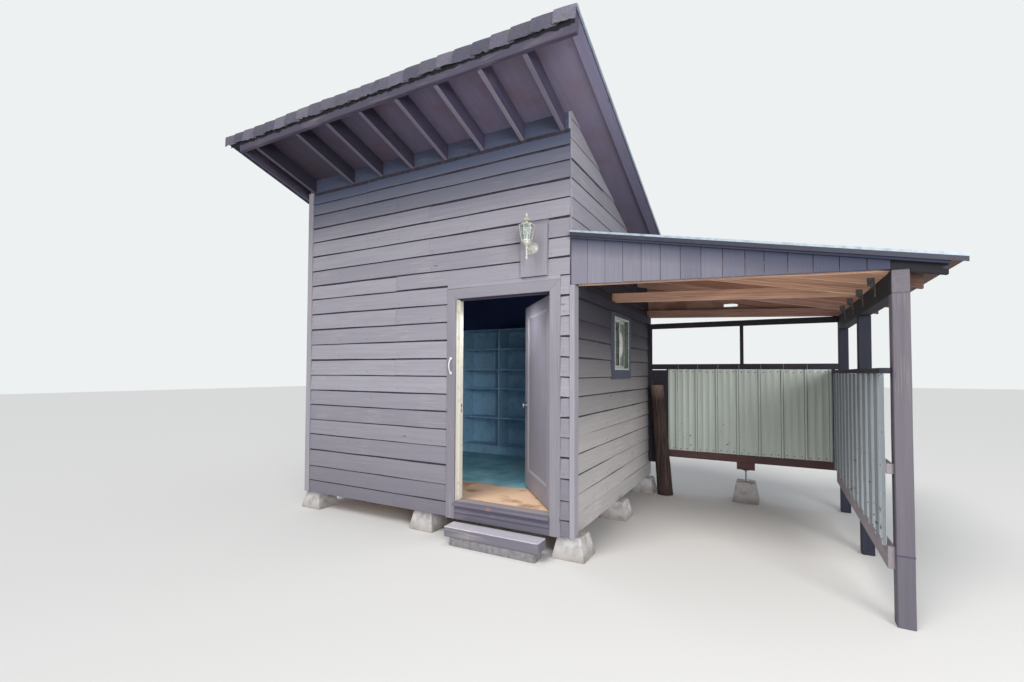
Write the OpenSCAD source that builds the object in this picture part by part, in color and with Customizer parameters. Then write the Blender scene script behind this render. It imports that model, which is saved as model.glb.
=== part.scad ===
// Small monopitch boathouse: a boarded shed on concrete piers with its high side to the front,
// and an open boat shelter leaning on its right wall.
// X runs to the right along the front wall, Y to the back and Z up. The origin is on the ground,
// under the outer corner where the front wall meets the right wall.

/* [Shed] */
// Width of the shed over its side walls
shed_w = 3100; // [2900:50:3500]
// Depth of the shed from front to back
shed_d = 2750; // [2450:50:3100]
// Thickness of the walls
wall_t = 110; // [95:5:125]
// Height of the walls' foot above the ground
floor_gap = 180; // [140:10:260]
// Height of the front wall, from its foot to the rafters' underside
front_wall_h = 3285; // [3000:5:3600]
// Height of the floor's top above the walls' foot
floor_rise = 135; // [115:5:170]
// Thickness of the plywood floor
floor_ply = 18; // [12:1:25]
// Width of a floor joist
joist_w = 38; // [32:1:50]
// Distance between floor joists
joist_gap = 406; // [300:1:610]
// Height that one siding board shows
lap = 162.5; // [120:2.5:200]
// Height that the lowest siding board shows
first_lap = 133; // [90:1:160]
// Thickness of a siding board at its lower edge
lap_out = 12; // [8:0.5:18]
// Thickness of a siding board at its upper edge
lap_in = 2; // [1:0.5:5]
// Width of the trim boards beside the door and window
trim_w = 92; // [60:1:120]
// Thickness of the trim boards
trim_t = 22; // [16:1:30]
// Width of the narrow board at the left front corner
corner_board_w = 55; // [40:1:90]

/* [Foundation] */
// Width of a pier block at its foot
pier_base = 280; // [220:10:320]
// Width of a pier block at its top
pier_top = 200; // [150:10:220]

/* [Roof] */
// Slope of the roof in degrees
roof_pitch = 18; // [15:0.5:21]
// Reach of the rafters in front of the front wall
front_eave = 690; // [500:10:850]
// Reach of the rafters behind the back wall
rear_eave = 260; // [150:10:400]
// Reach of the roof past the right wall
right_verge = 335; // [250:5:400]
// Reach of the roof past the left wall
left_verge = 380; // [300:5:450]
// Width of a rafter
rafter_w = 38; // [32:1:50]
// Depth of a rafter
rafter_h = 140; // [120:5:160]
// Distance between the middle rafters
rafter_gap = 402; // [380:1:420]
// Distance from the right wall's face to the nearest middle rafter's middle
rafter_first = 440; // [380:5:480]
// Thickness of the plywood roof deck
deck_t = 13; // [9:1:22]
// Thickness of the shingles
shingle_t = 10; // [6:1:16]
// Thickness of the front fascia board
fascia_t = 38; // [25:1:45]
// Depth of the shingle caps where they hang over the front edge
cap_drop = 118; // [80:2:130]
// Reach of the shingle caps up the roof
cap_reach = 150; // [100:5:220]
// Thickness of the shingle caps
cap_t = 12; // [8:1:18]

/* [Doorway] */
// Width of the doorway between its jambs
door_open_w = 935; // [840:5:980]
// Height of the doorway's head above the walls' foot
door_head_h = 1972; // [1850:4:2100]
// Distance from the right wall's face to the doorway
door_from_right = 175; // [172:1:200]
// Thickness of the jamb boards
jamb_t = 20; // [16:1:25]
// Thickness of the door
door_t = 40; // [35:1:44]
// Gap round the door
door_gap = 5; // [5:1:8]
// Angle at which the door stands open
door_angle = 50; // [20:1:80]
// Width of the door's stiles and top rail
stile_w = 110; // [90:5:130]
// Height of the door's bottom rail
bottom_rail_h = 170; // [140:5:220]
// Radius of the door knob
knob_r = 27; // [22:1:30]
// Height of the knob above the door's foot
knob_h = 820; // [760:10:950]
// Height of the sill's top above the floor
sill_rise = 12; // [8:1:20]

/* [Step] */
// Length of the step timber
step_w = 900; // [700:10:1000]
// Depth of the step timber from front to back
step_d = 150; // [120:5:200]
// Height of the step timber
step_h = 89; // [70:1:100]
// Height of the block under the step
step_block_h = 72; // [50:1:80]
// Distance of the step from the front wall's face
step_y = 50; // [48:1:80]

/* [Window] */
// Width of the window frame
window_w = 530; // [400:10:600]
// Height of the window frame
window_h = 545; // [450:5:575]
// Distance from the front wall's face to the window
window_from_front = 1140; // [900:10:1400]
// Height of the board over the window, up to the lean-to's ledger
window_head = 41; // [15:1:90]
// Width of the window frame's bars
frame_bar = 42; // [30:1:55]

/* [Lean-to] */
// Distance from the shed's right wall to the inner face of the posts
bay_w = 2050; // [1800:10:2300]
// Width of a post
post_w = 89; // [80:1:110]
// Height of the beam that the posts carry
beam_h = 140; // [120:5:190]
// Height of the posts under the beam
post_h = 1970; // [1940:5:2070]
// Depth of the lean-to's roof frame from front to back
lean_d = 2650; // [2450:10:2680]
// Slope of the lean-to's roof in degrees
lean_pitch = 11; // [9:0.5:12]
// Depth of a lean-to rafter
lean_rafter_h = 89; // [80:1:110]
// Number of lean-to rafters
lean_rafters_n = 6; // [4:1:7]
// Reach of the lean-to's rafters past the posts
lean_tail = 175; // [120:5:240]
// Reach of the lean-to's roof past its rafters
lean_drip = 75; // [40:5:110]
// Rise of the ties from the beam to the shed
tie_rise = 80; // [50:5:120]
// Width of a fascia board
board_w = 139; // [120:1:160]
// Thickness of the fascia boards
board_t = 19; // [16:1:25]

/* [Boat bay walls] */
// Height of the metal sheets' top above the ground
sheet_top = 1530; // [1300:5:1700]
// Height of the metal sheets' foot above the ground
sheet_foot = 530; // [480:5:600]
// Distance between the sheets' main ribs
rib_gap = 229; // [180:1:300]
// Height of the sheets' main ribs
rib_h = 19; // [12:1:22]
// Distance from the shed's right wall to the edge of the back sheets
back_sheet_from = 262; // [245:1:320]
// Diameter of the log post at its foot
log_d = 200; // [150:5:230]
// Height of the log post
log_h = 1335; // [1200:5:1500]

/* [Fittings] */
// Distance from the doorway's head board up to the lantern's backboard
lantern_gap = 36; // [5:1:90]
// Height of the lantern's backboard
lantern_board_h = 435; // [380:5:500]
// Width of the lantern's backboard
lantern_board_w = 246; // [180:2:260]
// Thickness of the lantern's backboard
lantern_board_t = 36; // [20:1:45]
// Distance from the backboard to the lantern's middle
lantern_reach = 120; // [90:1:150]

/* [Shelves] */
// Width of one bay of the shelves
shelf_bay_w = 600; // [500:10:700]
// Depth of the shelves
shelf_d = 300; // [250:10:400]
// Height of the shelf unit
shelf_h = 1790; // [1700:10:1900]
// Thickness of the shelf boards
shelf_t = 19; // [15:1:25]

/* [Hidden] */
$fn = 32;

// Colours as the photo shows them
brown = "#6b6067";
raw_wood = "#a9764f";
concrete = "#b5b3ad";
shingle = "#7d8683";
metal_green = "#a9b3aa";

// Clearance left where sloping pieces rest on each other
seat = 0.3;

// Heights
wall_foot = floor_gap;
floor_z = wall_foot + floor_rise;
pitch_m = tan(roof_pitch);
rafter_plumb = rafter_h / cos(roof_pitch);
eave_z = wall_foot + front_wall_h;
door_head_z = wall_foot + door_head_h;
sill_z = floor_z + sill_rise;
back_y = shed_d;

// Height of the rafters' underside and of the deck's underside at a distance y behind the front wall
function rafter_foot(y) = eave_z - pitch_m * y;
function deck_foot(y) = rafter_foot(y) + rafter_plumb;
function deck_seat(y) = deck_foot(y) - seat;
function roof_layer(y, t) = deck_foot(y) + t / cos(roof_pitch);

// Level tops of the front and back walls, where the rafters are notched to sit
front_top = rafter_foot(0);
rear_top = rafter_foot(back_y - wall_t);

// Lower edge of the siding board that covers a height, and the edges of the boards between two heights
function board_start(z) = wall_foot + first_lap + lap * floor((z - wall_foot - first_lap) / lap);
function board_edges(z0, z1) = concat([z0],
    [for (i = [0 : 30]) let (z = wall_foot + first_lap + i * lap) if (z > z0 + 8 && z < z1 - 8) z], [z1]);
function board_out(z, start) = lap_out - (lap_out - lap_in) * (z - start) / lap;

// Saw-toothed outline of the siding boards: distance out from the wall and height
function siding(z0, z1) = let (e = board_edges(z0, z1)) concat([[0, z0]],
    [for (i = [0 : len(e) - 2]) let (b = board_start(e[i] + 1)) each [[board_out(e[i], b), e[i]],
        [board_out(e[i + 1], b), e[i + 1]]]], [[0, z1]]);

// Doorway
door_x1 = -door_from_right;
door_x0 = door_x1 - door_open_w;
leaf_w = door_open_w - 2 * door_gap;
leaf_z0 = sill_z + 8;
leaf_h = door_head_z - door_gap - leaf_z0;
leaf_y1 = wall_t - 2;
hinge_r = 7;
hinge_clear = 2;
hinge_x = door_x1 - door_gap / 2;
hinge_y = leaf_y1 + hinge_clear + hinge_r;
hinge_h = 90;
hinge_zs = [leaf_z0 + 180, leaf_z0 + leaf_h / 2 - hinge_h / 2, leaf_z0 + leaf_h - 180 - hinge_h];
stop_t = 12;
stop_w = 28;
step_x0 = door_x1 - 15 - step_w;

// Rafters, counted from the right
mid_rafters = floor((shed_w - rafter_first - rafter_gap / 2) / rafter_gap) - 0;
rafter_xs = concat([-70], [for (i = [0 : mid_rafters - 1]) -rafter_first - i * rafter_gap], [-shed_w + 60]);
roof_x0 = -shed_w - left_verge;
roof_x1 = right_verge;
fascia_x0 = roof_x0 + 220;
fascia_x1 = roof_x1 - 5;
fascia_y = -front_eave - fascia_t;
roof_y0 = fascia_y - 8;
roof_y1 = back_y + rear_eave + 25;

// Lean-to
post_x0 = bay_w;
post_x1 = bay_w + post_w;
beam_top = post_h + beam_h;
lean_m = tan(lean_pitch);
lean_plumb = lean_rafter_h / cos(lean_pitch);
lean_x1 = post_x1 + lean_tail;
lean_edge = lean_x1 + lean_drip;
function lean_foot(x) = beam_top + lean_m * (post_x0 - x);
function lean_top(x) = lean_foot(x) + lean_plumb;
function lean_seat(x) = lean_top(x) - seat;
function tie_foot(x) = ledger_z1 - tie_rise * x / post_x0;
lean_deck_t = 15;
lean_roof_t = 10;
lean_front = -board_t - 30;
lean_rear = lean_d + 50;
lean_y1 = lean_d;
lean_step = (lean_y1 - rafter_w) / (lean_rafters_n - 1);
function lean_rafter_y(i) = i * lean_step;
rear_post_y = lean_y1;
mid_post_y = lean_y1 / 2 - 35;
lean_x0 = lap_out;
tie_h = 89;
ledger_z0 = beam_top + tie_rise - tie_h;
ledger_z1 = beam_top + tie_rise;
window_z = ledger_z0 - window_head - window_h;

// Walls of the boat bay
frame_t = 38;
frame_y = lean_d;
corner_x = lap_out;
back_rail_z = beam_top;
side_foot = sheet_foot - 70;
side_top = sheet_top - 40;
prop_x = 1130;
prop_y = frame_y + frame_t / 2;
prop_z = 230;
prop_top = sheet_foot - 90 - 82;
log_x = 243;
log_y = frame_y - rib_h - 12 - log_d / 2;

// Prism along X from a profile of Y and Z
module prism_x(profile, x0, x1) {
    translate([x0, 0, 0]) rotate([90, 0, 90]) linear_extrude(x1 - x0) polygon(profile);
}

// Prism along Y from a profile of X and Z
module prism_y(profile, y0, y1) {
    translate([0, y1, 0]) rotate([90, 0, 0]) linear_extrude(y1 - y0) polygon(profile);
}

// Box between two corners
module slab(a, b) {
    translate(a) cube(b - a);
}

// One concrete pier block, tapered, centred on x and y
module pier(x, y, h) {
    s = pier_top / pier_base;
    translate([x, y, 0]) linear_extrude(h, scale = s) square(pier_base, center = true);
}

module pier_blocks() color(concrete) {
    front_y = pier_base / 2 - 20;
    rear_y = back_y - pier_base / 2 - 60;
    left_x = -shed_w + pier_base / 2 - 60;
    for (x = [left_x, -shed_w / 2 + 50, -20], y = [front_y, rear_y])
        pier(x, y, wall_foot);
    for (x = [left_x, -20])
        pier(x, (front_y + rear_y) / 2, wall_foot);
    slab([step_x0 + 50, -step_y - step_d + 5, 0], [step_x0 + step_w - 30, -step_y - 5, step_block_h]);
    pier(prop_x, prop_y, prop_z);
}

module floor_frame() color(raw_wood) {
    top = floor_z - floor_ply;
    n = floor((shed_d - 2 * wall_t - joist_w) / joist_gap);
    slab([-shed_w + wall_t, wall_t, wall_foot], [-wall_t, wall_t + joist_w, top]);
    slab([-shed_w + wall_t, back_y - wall_t - joist_w, wall_foot], [-wall_t, back_y - wall_t, top]);
    for (i = [1 : n - 1])
        slab([-shed_w + wall_t, wall_t + i * joist_gap, wall_foot], [-wall_t, wall_t + i * joist_gap + joist_w, top]);
}

module floor_boards() color("#c9a06c") {
    slab([-shed_w + wall_t, wall_t, floor_z - floor_ply], [-wall_t, back_y - wall_t, floor_z]);
}

// Siding boards on the front wall between two places along X and two heights
module front_siding(x0, x1, z0, z1) {
    prism_x([for (p = siding(z0, z1)) [-p[0], p[1]]], x0, x1);
}

head_z = door_head_z + trim_w;
module front_wall_left() color(brown) {
    x1 = door_x0 - jamb_t;
    slab([-shed_w, 0, wall_foot], [x1, wall_t, front_top]);
    front_siding(-shed_w + corner_board_w, door_x0 - trim_w, wall_foot, head_z);
    front_siding(-shed_w + corner_board_w, x1, head_z, front_top);
}

module front_wall_right() color(brown) {
    x0 = door_x1 + jamb_t;
    slab([x0, 0, wall_foot], [0, wall_t, front_top]);
    front_siding(door_x1 + trim_w, 0, wall_foot, head_z);
    front_siding(x0, 0, head_z, front_top);
}

// Part of the front wall over the doorway, with its siding cut out round the lantern's backboard
module front_wall_over_door() color(brown) difference() {
    union() {
        slab([door_x0 - jamb_t, 0, door_head_z + jamb_t], [door_x1 + jamb_t, wall_t, front_top]);
        front_siding(door_x0 - jamb_t, door_x1 + jamb_t, head_z, front_top);
    }
    slab([lantern_x - lantern_board_w / 2, -lap_out - 1, board_z],
        [lantern_x + lantern_board_w / 2, 0, board_z + lantern_board_h]);
}

module back_wall() color(brown) {
    y0 = back_y - wall_t;
    slab([-shed_w, y0, wall_foot], [0, back_y, rear_top]);
    prism_x([for (p = siding(wall_foot, rafter_foot(back_y + lap_out) - 2)) [back_y + p[0], p[1]]],
        -shed_w + corner_board_w, -corner_board_w);
}

// Side wall between the front and back walls, with its outer skin carried up to the deck
gable_skin = 18;
module side_wall(x0, x1, skin0, skin1) {
    y0 = wall_t;
    y1 = back_y - wall_t;
    prism_x([[y0, wall_foot], [y1, wall_foot], [y1, rafter_foot(y1) - seat], [y0, rafter_foot(y0) - seat]], x0, x1);
    prism_x([[0, front_top], [y0, front_top], [y0, rafter_foot(y0) - seat], [y1, rafter_foot(y1) - seat],
        [y1, rear_top], [back_y, rear_top], [back_y, deck_seat(back_y)], [0, deck_seat(0)]], skin0, skin1);
}

// Siding of a side wall from y0 to the back, cut off under the sloping deck; side is 1 on the right and -1 on the left
module side_siding(y0, x, side) intersection() {
    prism_y([for (p = siding(wall_foot, deck_foot(0) + 100)) [x + side * p[0], p[1]]], y0, back_y);
    prism_x([[y0 - 1, wall_foot - 1], [back_y + 1, wall_foot - 1], [back_y + 1, deck_seat(back_y + 1)],
        [y0 - 1, deck_seat(y0 - 1)]], x - lap_out - 1, x + lap_out + 1);
}

module left_wall() color(brown) {
    side_wall(-shed_w, -shed_w + wall_t, -shed_w, -shed_w + gable_skin);
    side_siding(0, -shed_w, -1);
}

// Right wall with its window cut through, and its siding stopped at the window's casing and the corner post
module right_wall() color(brown) difference() {
    union() {
        side_wall(-wall_t, 0, -gable_skin, 0);
        side_siding(0, 0, 1);
    }
    slab([-wall_t - 1, window_from_front, window_z], [lap_out + 1, window_from_front + window_w, window_z + window_h]);
    slab([0, window_from_front - trim_w, window_z - trim_w],
        [lap_out + 1, window_from_front + window_w + trim_w, ledger_z0]);
    slab([0, -1, wall_foot - 1], [lap_out + 1, corner_d, corner_top]);
}

// Boards at the corners: narrow ones on the left and at the back, and the post that the lean-to's front stands against
corner_d = 70;
corner_w = 42;
corner_top = tie_foot(corner_w) - seat;
module corner_trim() color(brown) {
    slab([-shed_w - lap_out, -trim_t, wall_foot], [-shed_w + corner_board_w, 0, front_top]);
    slab([0, -trim_t, wall_foot], [corner_w, corner_d, corner_top]);
    z1 = rafter_foot(back_y + trim_t) - 2;
    slab([-shed_w - lap_out, back_y, wall_foot], [-shed_w + corner_board_w, back_y + trim_t, z1]);
    slab([-corner_board_w, back_y, wall_foot], [lap_out, back_y + trim_t, z1]);
}

// Outline of a rafter with plumb ends, notched level over the front and back walls
function rafter_outline() = let (y0 = -front_eave, y1 = back_y + rear_eave, yi = wall_t, yo = back_y - wall_t)
    [[y0, rafter_foot(y0)], [0, front_top], [yi, front_top], [yi, rafter_foot(yi)], [yo, rear_top],
        [back_y, rear_top], [back_y, rafter_foot(back_y)], [y1, rafter_foot(y1)], [y1, deck_seat(y1)],
        [y0, deck_seat(y0)]];
module roof_rafters() color(brown) {
    for (x = rafter_xs)
        prism_x(rafter_outline(), x - rafter_w / 2, x + rafter_w / 2);
}

// Boards round the roof's edge: front and rear fascias, the left fly rafter and the right verge board
module roof_fascias() color(brown) {
    y0 = -front_eave;
    y1 = back_y + rear_eave;
    y2 = y1 + 19;
    slab([fascia_x0, fascia_y, rafter_foot(y0)], [fascia_x1, y0, deck_seat(y0)]);
    slab([fascia_x0, y1, rafter_foot(y1)], [fascia_x1, y2, deck_seat(y2)]);
    prism_x([[y0, rafter_foot(y0)], [y1, rafter_foot(y1)], [y1, deck_seat(y1)], [y0, deck_seat(y0)]],
        fascia_x0, fascia_x0 + rafter_w);
    prism_x([[y0, deck_seat(y0) - 20], [y1, deck_seat(y1) - 20], [y1, deck_seat(y1)], [y0, deck_seat(y0)]],
        fascia_x1 - 90, fascia_x1);
}

// Blocks between the rafters on the level tops of the front and back walls
module eave_blocks() color(brown) {
    xs = concat([-gable_skin + rafter_w / 2], rafter_xs, [-shed_w + gable_skin - rafter_w / 2]);
    for (e = [[0, front_top], [back_y - rafter_w, rear_top]])
        for (i = [0 : len(xs) - 2])
            prism_x([[e[0], e[1]], [e[0] + rafter_w, e[1]], [e[0] + rafter_w, deck_seat(e[0] + rafter_w)],
                [e[0], deck_seat(e[0])]], xs[i + 1] + rafter_w / 2, xs[i] - rafter_w / 2);
}

module roof_deck() color("#7a6a70") {
    prism_x([[roof_y0, deck_foot(roof_y0)], [roof_y1, deck_foot(roof_y1)],
        [roof_y1, roof_layer(roof_y1, deck_t)], [roof_y0, roof_layer(roof_y0, deck_t)]], roof_x0, roof_x1);
}

module roof_shingles() color(shingle) {
    prism_x([[roof_y0, roof_layer(roof_y0, deck_t)], [roof_y1, roof_layer(roof_y1, deck_t)],
        [roof_y1, roof_layer(roof_y1, deck_t + shingle_t)], [roof_y0, roof_layer(roof_y0, deck_t + shingle_t)]],
        roof_x0, roof_x1);
}

// Shingle caps bent over the high front edge of the roof
module shingle_caps() color(shingle) {
    y0 = roof_y0 - cap_t;
    y1 = roof_y0 + cap_reach;
    s = deck_t + shingle_t;
    z = roof_layer(roof_y0, s) - cap_drop;
    prism_x([[y0, z], [roof_y0, z], [roof_y0, roof_layer(roof_y0, s) + seat], [y1, roof_layer(y1, s) + seat],
        [y1, roof_layer(y1, s + cap_t)], [y0, roof_layer(y0, s + cap_t)]], roof_x0, roof_x1);
}

// Thin metal edging along both sides of the roof and along the lean-to's front edge
module drip_edges() color("#d5dade") {
    for (x = [roof_x0 - 3, roof_x1])
        prism_x([[roof_y0, roof_layer(roof_y0, deck_t) - 42], [roof_y1, roof_layer(roof_y1, deck_t) - 42],
            [roof_y1, roof_layer(roof_y1, deck_t + shingle_t)], [roof_y0, roof_layer(roof_y0, deck_t + shingle_t)]],
            x, x + 3);
    t = (lean_deck_t + lean_roof_t) / cos(lean_pitch);
    prism_y([[lean_x0, lean_top(lean_x0) + t - 46], [lean_edge, lean_top(lean_edge) + t - 46],
        [lean_edge, lean_top(lean_edge) + t], [lean_x0, lean_top(lean_x0) + t]], lean_front - 3, lean_front);
}

// Boards that line the doorway, with a stop in front of the door, and the sill on its riser board
module door_frame() color("#e8e4da") {
    top = door_head_z;
    stop_y1 = leaf_y1 - door_t - door_gap;
    stop_y0 = stop_y1 - stop_w;
    slab([door_x0 - jamb_t, 0, wall_foot], [door_x0, wall_t, top + jamb_t]);
    slab([door_x1, 0, wall_foot], [door_x1 + jamb_t, wall_t, top + jamb_t]);
    slab([door_x0, 0, top], [door_x1, wall_t, top + jamb_t]);
    slab([door_x0, stop_y0, sill_z], [door_x0 + stop_t, stop_y1, top]);
    slab([door_x1 - stop_t, stop_y0, sill_z], [door_x1, stop_y1, top]);
    slab([door_x0 + stop_t, stop_y0, top - stop_t], [door_x1 - stop_t, stop_y1, top]);
    sill();
}

// Casing boards round the doorway, mitred at the head, and round the window
module casing_boards() color(brown) {
    z0 = wall_foot - 10;
    zi = door_head_z;
    zo = door_head_z + trim_w;
    prism_y([[door_x0 - trim_w, z0], [door_x0, z0], [door_x0, zi], [door_x0 - trim_w, zo]], -trim_t, 0);
    prism_y([[door_x1, z0], [door_x1 + trim_w, z0], [door_x1 + trim_w, zo], [door_x1, zi]], -trim_t, 0);
    prism_y([[door_x0, zi], [door_x1, zi], [door_x1 + trim_w, zo], [door_x0 - trim_w, zo]], -trim_t, 0);
    window_casing();
}

// Sill with a rounded nosing, on a riser board
module sill() {
    nose = 16;
    prism_x([[-48, sill_z - 34], [wall_t, sill_z - 34], [wall_t, sill_z], [20, sill_z], [-48 + nose, sill_z - 8],
        [-48, sill_z - 18]], door_x0, door_x1);
    slab([door_x0, -18, wall_foot - 10], [door_x1, 12, sill_z - 34]);
    slab([door_x0, 12, wall_foot], [door_x1, wall_t, sill_z - 34]);
}

module door_step() color(brown) {
    translate([step_x0, -step_y - step_d, step_block_h]) cube([step_w, step_d, step_h]);
}

// Hinge barrels on the jamb, each with its fixed plate
module door_hinges() color("silver") {
    for (z = hinge_zs) {
        translate([hinge_x, hinge_y, z]) cylinder(r = hinge_r, h = hinge_h);
        slab([hinge_x, wall_t, z], [door_x1 + jamb_t - 2, wall_t + 3, z + hinge_h]);
    }
}

// Places the closed door's shapes at the angle at which the door stands open
module swung() {
    translate([hinge_x, hinge_y, 0]) rotate([0, 0, -door_angle]) translate([-hinge_x, -hinge_y, 0]) children();
}

// Cut that leaves a stepped moulding round the door's panel, from the face y inwards
module panel_recess(x0, x1, z0, z1, y, side) {
    step = 14;
    slab([x0, min(y, y + side * 5), z0], [x1, max(y, y + side * 5), z1]);
    slab([x0 + step, min(y, y + side * 10), z0 + step], [x1 - step, max(y, y + side * 10), z1 - step]);
}

module door_leaf() color(brown) swung() {
    x0 = door_x0 + door_gap;
    x1 = door_x1 - door_gap;
    y0 = leaf_y1 - door_t;
    difference() {
        slab([x0, y0, leaf_z0], [x1, leaf_y1, leaf_z0 + leaf_h]);
        panel_recess(x0 + stile_w, x1 - stile_w, leaf_z0 + bottom_rail_h, leaf_z0 + leaf_h - stile_w, y0, 1);
        panel_recess(x0 + stile_w, x1 - stile_w, leaf_z0 + bottom_rail_h, leaf_z0 + leaf_h - stile_w, leaf_y1, -1);
    }
}

module door_knobs() color("#b59b5b") swung() {
    x = door_x0 + door_gap + 60;
    z = leaf_z0 + knob_h;
    y0 = leaf_y1 - door_t;
    translate([x, y0, z]) rotate([90, 0, 0]) knob();
    translate([x, leaf_y1, z]) rotate([-90, 0, 0]) knob();
}

// One knob with its round plate and neck, standing along Z
module knob() {
    rotate_extrude() polygon([[0, 0], [30, 0], [30, 2], [27, 5], [12, 7], [9, 11], [9, 20], [15, 24],
        [knob_r - 3, 29], [knob_r, 35], [knob_r - 1, 41], [knob_r - 7, 46], [12, 49], [0, 50]]);
}

// Bow handle on the left casing board: two round feet and a round bar bent between them
handle_h = 160;
handle_out = 34;
handle_z = 1364;
module pull_handle() color("#dcdcdc") {
    x = door_x0 - trim_w / 2;
    z = wall_foot + handle_z;
    half = handle_h / 2 - 14;
    r = (half * half + handle_out * handle_out) / (2 * handle_out);
    a = asin(half / r);
    for (s = [-1, 1])
        translate([x, -trim_t, z + s * half]) rotate([90, 0, 0]) cylinder(r = 13, h = 5);
    translate([x, -trim_t - 3 + r * cos(a), z]) rotate([90, 0, 90]) arc_bar(r, 5, 180 - a, 2 * a);
}

// Frame of the sliding window, with a fixed sash in front and a sliding one behind it
module ring(y0, y1, z0, z1, x0, x1, bar) {
    difference() {
        slab([x0, y0, z0], [x1, y1, z1]);
        slab([x0 - 1, y0 + bar, z0 + bar], [x1 + 1, y1 - bar, z1 - bar]);
    }
}

sash_bar = 26;
module window_frame() color("#e3e8e2") {
    y0 = window_from_front;
    y1 = y0 + window_w;
    z1 = window_z + window_h;
    mid = (y0 + y1) / 2;
    g = frame_bar - sash_bar;
    ring(y0, y1, window_z, z1, -80, trim_t + 4, g);
    ring(y0 + g, mid + sash_bar / 2, window_z + g, z1 - g, -22, -2, sash_bar);
    ring(mid - sash_bar / 2, y1 - g, window_z + g, z1 - g, -44, -22, sash_bar);
}

module window_glass() color("lightblue", 0.4) {
    mid = window_from_front + window_w / 2;
    z0 = window_z + frame_bar;
    z1 = window_z + window_h - frame_bar;
    slab([-14, window_from_front + frame_bar, z0], [-10, mid - sash_bar / 2, z1]);
    slab([-35, mid + sash_bar / 2, z0], [-31, window_from_front + window_w - frame_bar, z1]);
}

// Boards round the window, the head board fitted under the lean-to's ledger
module window_casing() {
    y0 = window_from_front;
    y1 = y0 + window_w;
    z0 = window_z;
    z1 = z0 + window_h;
    z2 = min(z1 + trim_w, ledger_z0);
    difference() {
        slab([0, y0 - trim_w, z0 - trim_w], [trim_t, y1 + trim_w, z2]);
        slab([-1, y0, z0], [trim_t + 1, y1, z1]);
    }
}

// Backboard of the lantern, let into the siding over the doorway
lantern_x = door_x1 - 142;
board_z = head_z + lantern_gap;
module lantern_board() color(brown) {
    slab([lantern_x - lantern_board_w / 2, -lantern_board_t, board_z],
        [lantern_x + lantern_board_w / 2, 0, board_z + lantern_board_h]);
}

// Lantern's metalwork: round plate on the board, curved arm, turned stem, ring, six corner bars, roof, crown and finial
lantern_y = -lantern_board_t - lantern_reach;
lantern_z = board_z + 116;
glass_z = lantern_z + 158;
glass_h = 118;
arm_rise = 77;
module lantern() color("#c2a86a") {
    arm_r = (lantern_reach * lantern_reach + arm_rise * arm_rise) / (2 * arm_rise);
    arm_end = asin((lantern_reach - 8) / arm_r);
    translate([lantern_x, -lantern_board_t, lantern_z + 45 + arm_rise]) rotate([90, 0, 0])
        rotate_extrude() polygon([[0, 0], [40, 0], [40, 4], [34, 9], [20, 14], [0, 16]]);
    translate([lantern_x, lantern_y, lantern_z + 45 + arm_r]) rotate([90, 0, 90]) arc_bar(arm_r, 6, -90, arm_end);
    translate([lantern_x, lantern_y, lantern_z]) rotate_extrude() polygon([[0, 0], [10, 1], [15, 8], [15, 14],
        [8, 20], [8, 112], [13, 118], [24, 128], [34, 136], [34, 144], [42, 146], [42, 158], [0, 158]]);
    translate([lantern_x, lantern_y, glass_z + glass_h]) rotate([0, 0, 30]) cylinder(r1 = 64, r2 = 60, h = 6, $fn = 6);
    translate([lantern_x, lantern_y, glass_z + glass_h + 5]) rotate_extrude() polygon([[0, 0], [56, 0], [40, 10],
        [26, 18], [12, 22], [10, 30], [36, 40], [34, 46], [20, 58], [8, 64], [6, 72], [10, 80], [10, 86], [5, 94],
        [2, 106], [0, 108]]);
    for (a = [0 : 60 : 300])
        translate([lantern_x, lantern_y, 0]) rotate([0, 0, a + 30]) corner_bar();
}

// Bar along one corner of the tapered glass
module corner_bar() {
    translate([0, 2.5, 0]) rotate([90, 0, 0]) linear_extrude(5)
        polygon([[38, glass_z - 1], [43, glass_z - 1], [62, glass_z + glass_h + 1], [57, glass_z + glass_h + 1]]);
}

// Round bar bent along part of a circle in the XY plane, from one angle through a turn
module arc_bar(r, bar, from, turn) {
    rotate([0, 0, from]) rotate_extrude(angle = turn) translate([r, 0]) circle(r = bar);
}

module lantern_glass() color("white", 0.5) {
    translate([lantern_x, lantern_y, glass_z]) rotate([0, 0, 30]) cylinder(r1 = 37, r2 = 56, h = glass_h, $fn = 6);
}

shelf_x0 = -shed_w + 440;
shelf_levels = [100, 505, 925, 1195, 1490, shelf_h - shelf_t];
module shelf_unit() color("#e4ebe8") {
    y1 = back_y - wall_t - 2;
    y0 = y1 - shelf_d;
    for (i = [0 : 2])
        translate([shelf_x0 + i * (shelf_bay_w + shelf_t), y0, floor_z]) cube([shelf_t, shelf_d, shelf_h]);
    for (i = [0 : 1], z = shelf_levels)
        translate([shelf_x0 + shelf_t + i * (shelf_bay_w + shelf_t), y0, floor_z + z])
            cube([shelf_bay_w, shelf_d, shelf_t]);
    slab([shelf_x0, y1 - 6, floor_z], [shelf_x0 + 2 * shelf_bay_w + 3 * shelf_t, y1, floor_z + shelf_h]);
}

module lean_posts() color(brown) {
    for (y = [0, mid_post_y, rear_post_y])
        translate([post_x0, y, 0]) cube([post_w, post_w, post_h]);
}

module lean_beam() color("#4c434a") {
    slab([post_x0, 0, post_h], [post_x1, rear_post_y + post_w, beam_top]);
}

// Sloping rafters notched over the beam
module lean_rafters() color(raw_wood) {
    for (i = [0 : lean_rafters_n - 1])
        prism_y([[lean_x0, lean_foot(lean_x0)], [post_x0, beam_top], [post_x1, beam_top], [post_x1, lean_foot(post_x1)],
            [lean_x1, lean_foot(lean_x1)], [lean_x1, lean_seat(lean_x1)], [lean_x0, lean_seat(lean_x0)]],
            lean_rafter_y(i), lean_rafter_y(i) + rafter_w);
}

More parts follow.
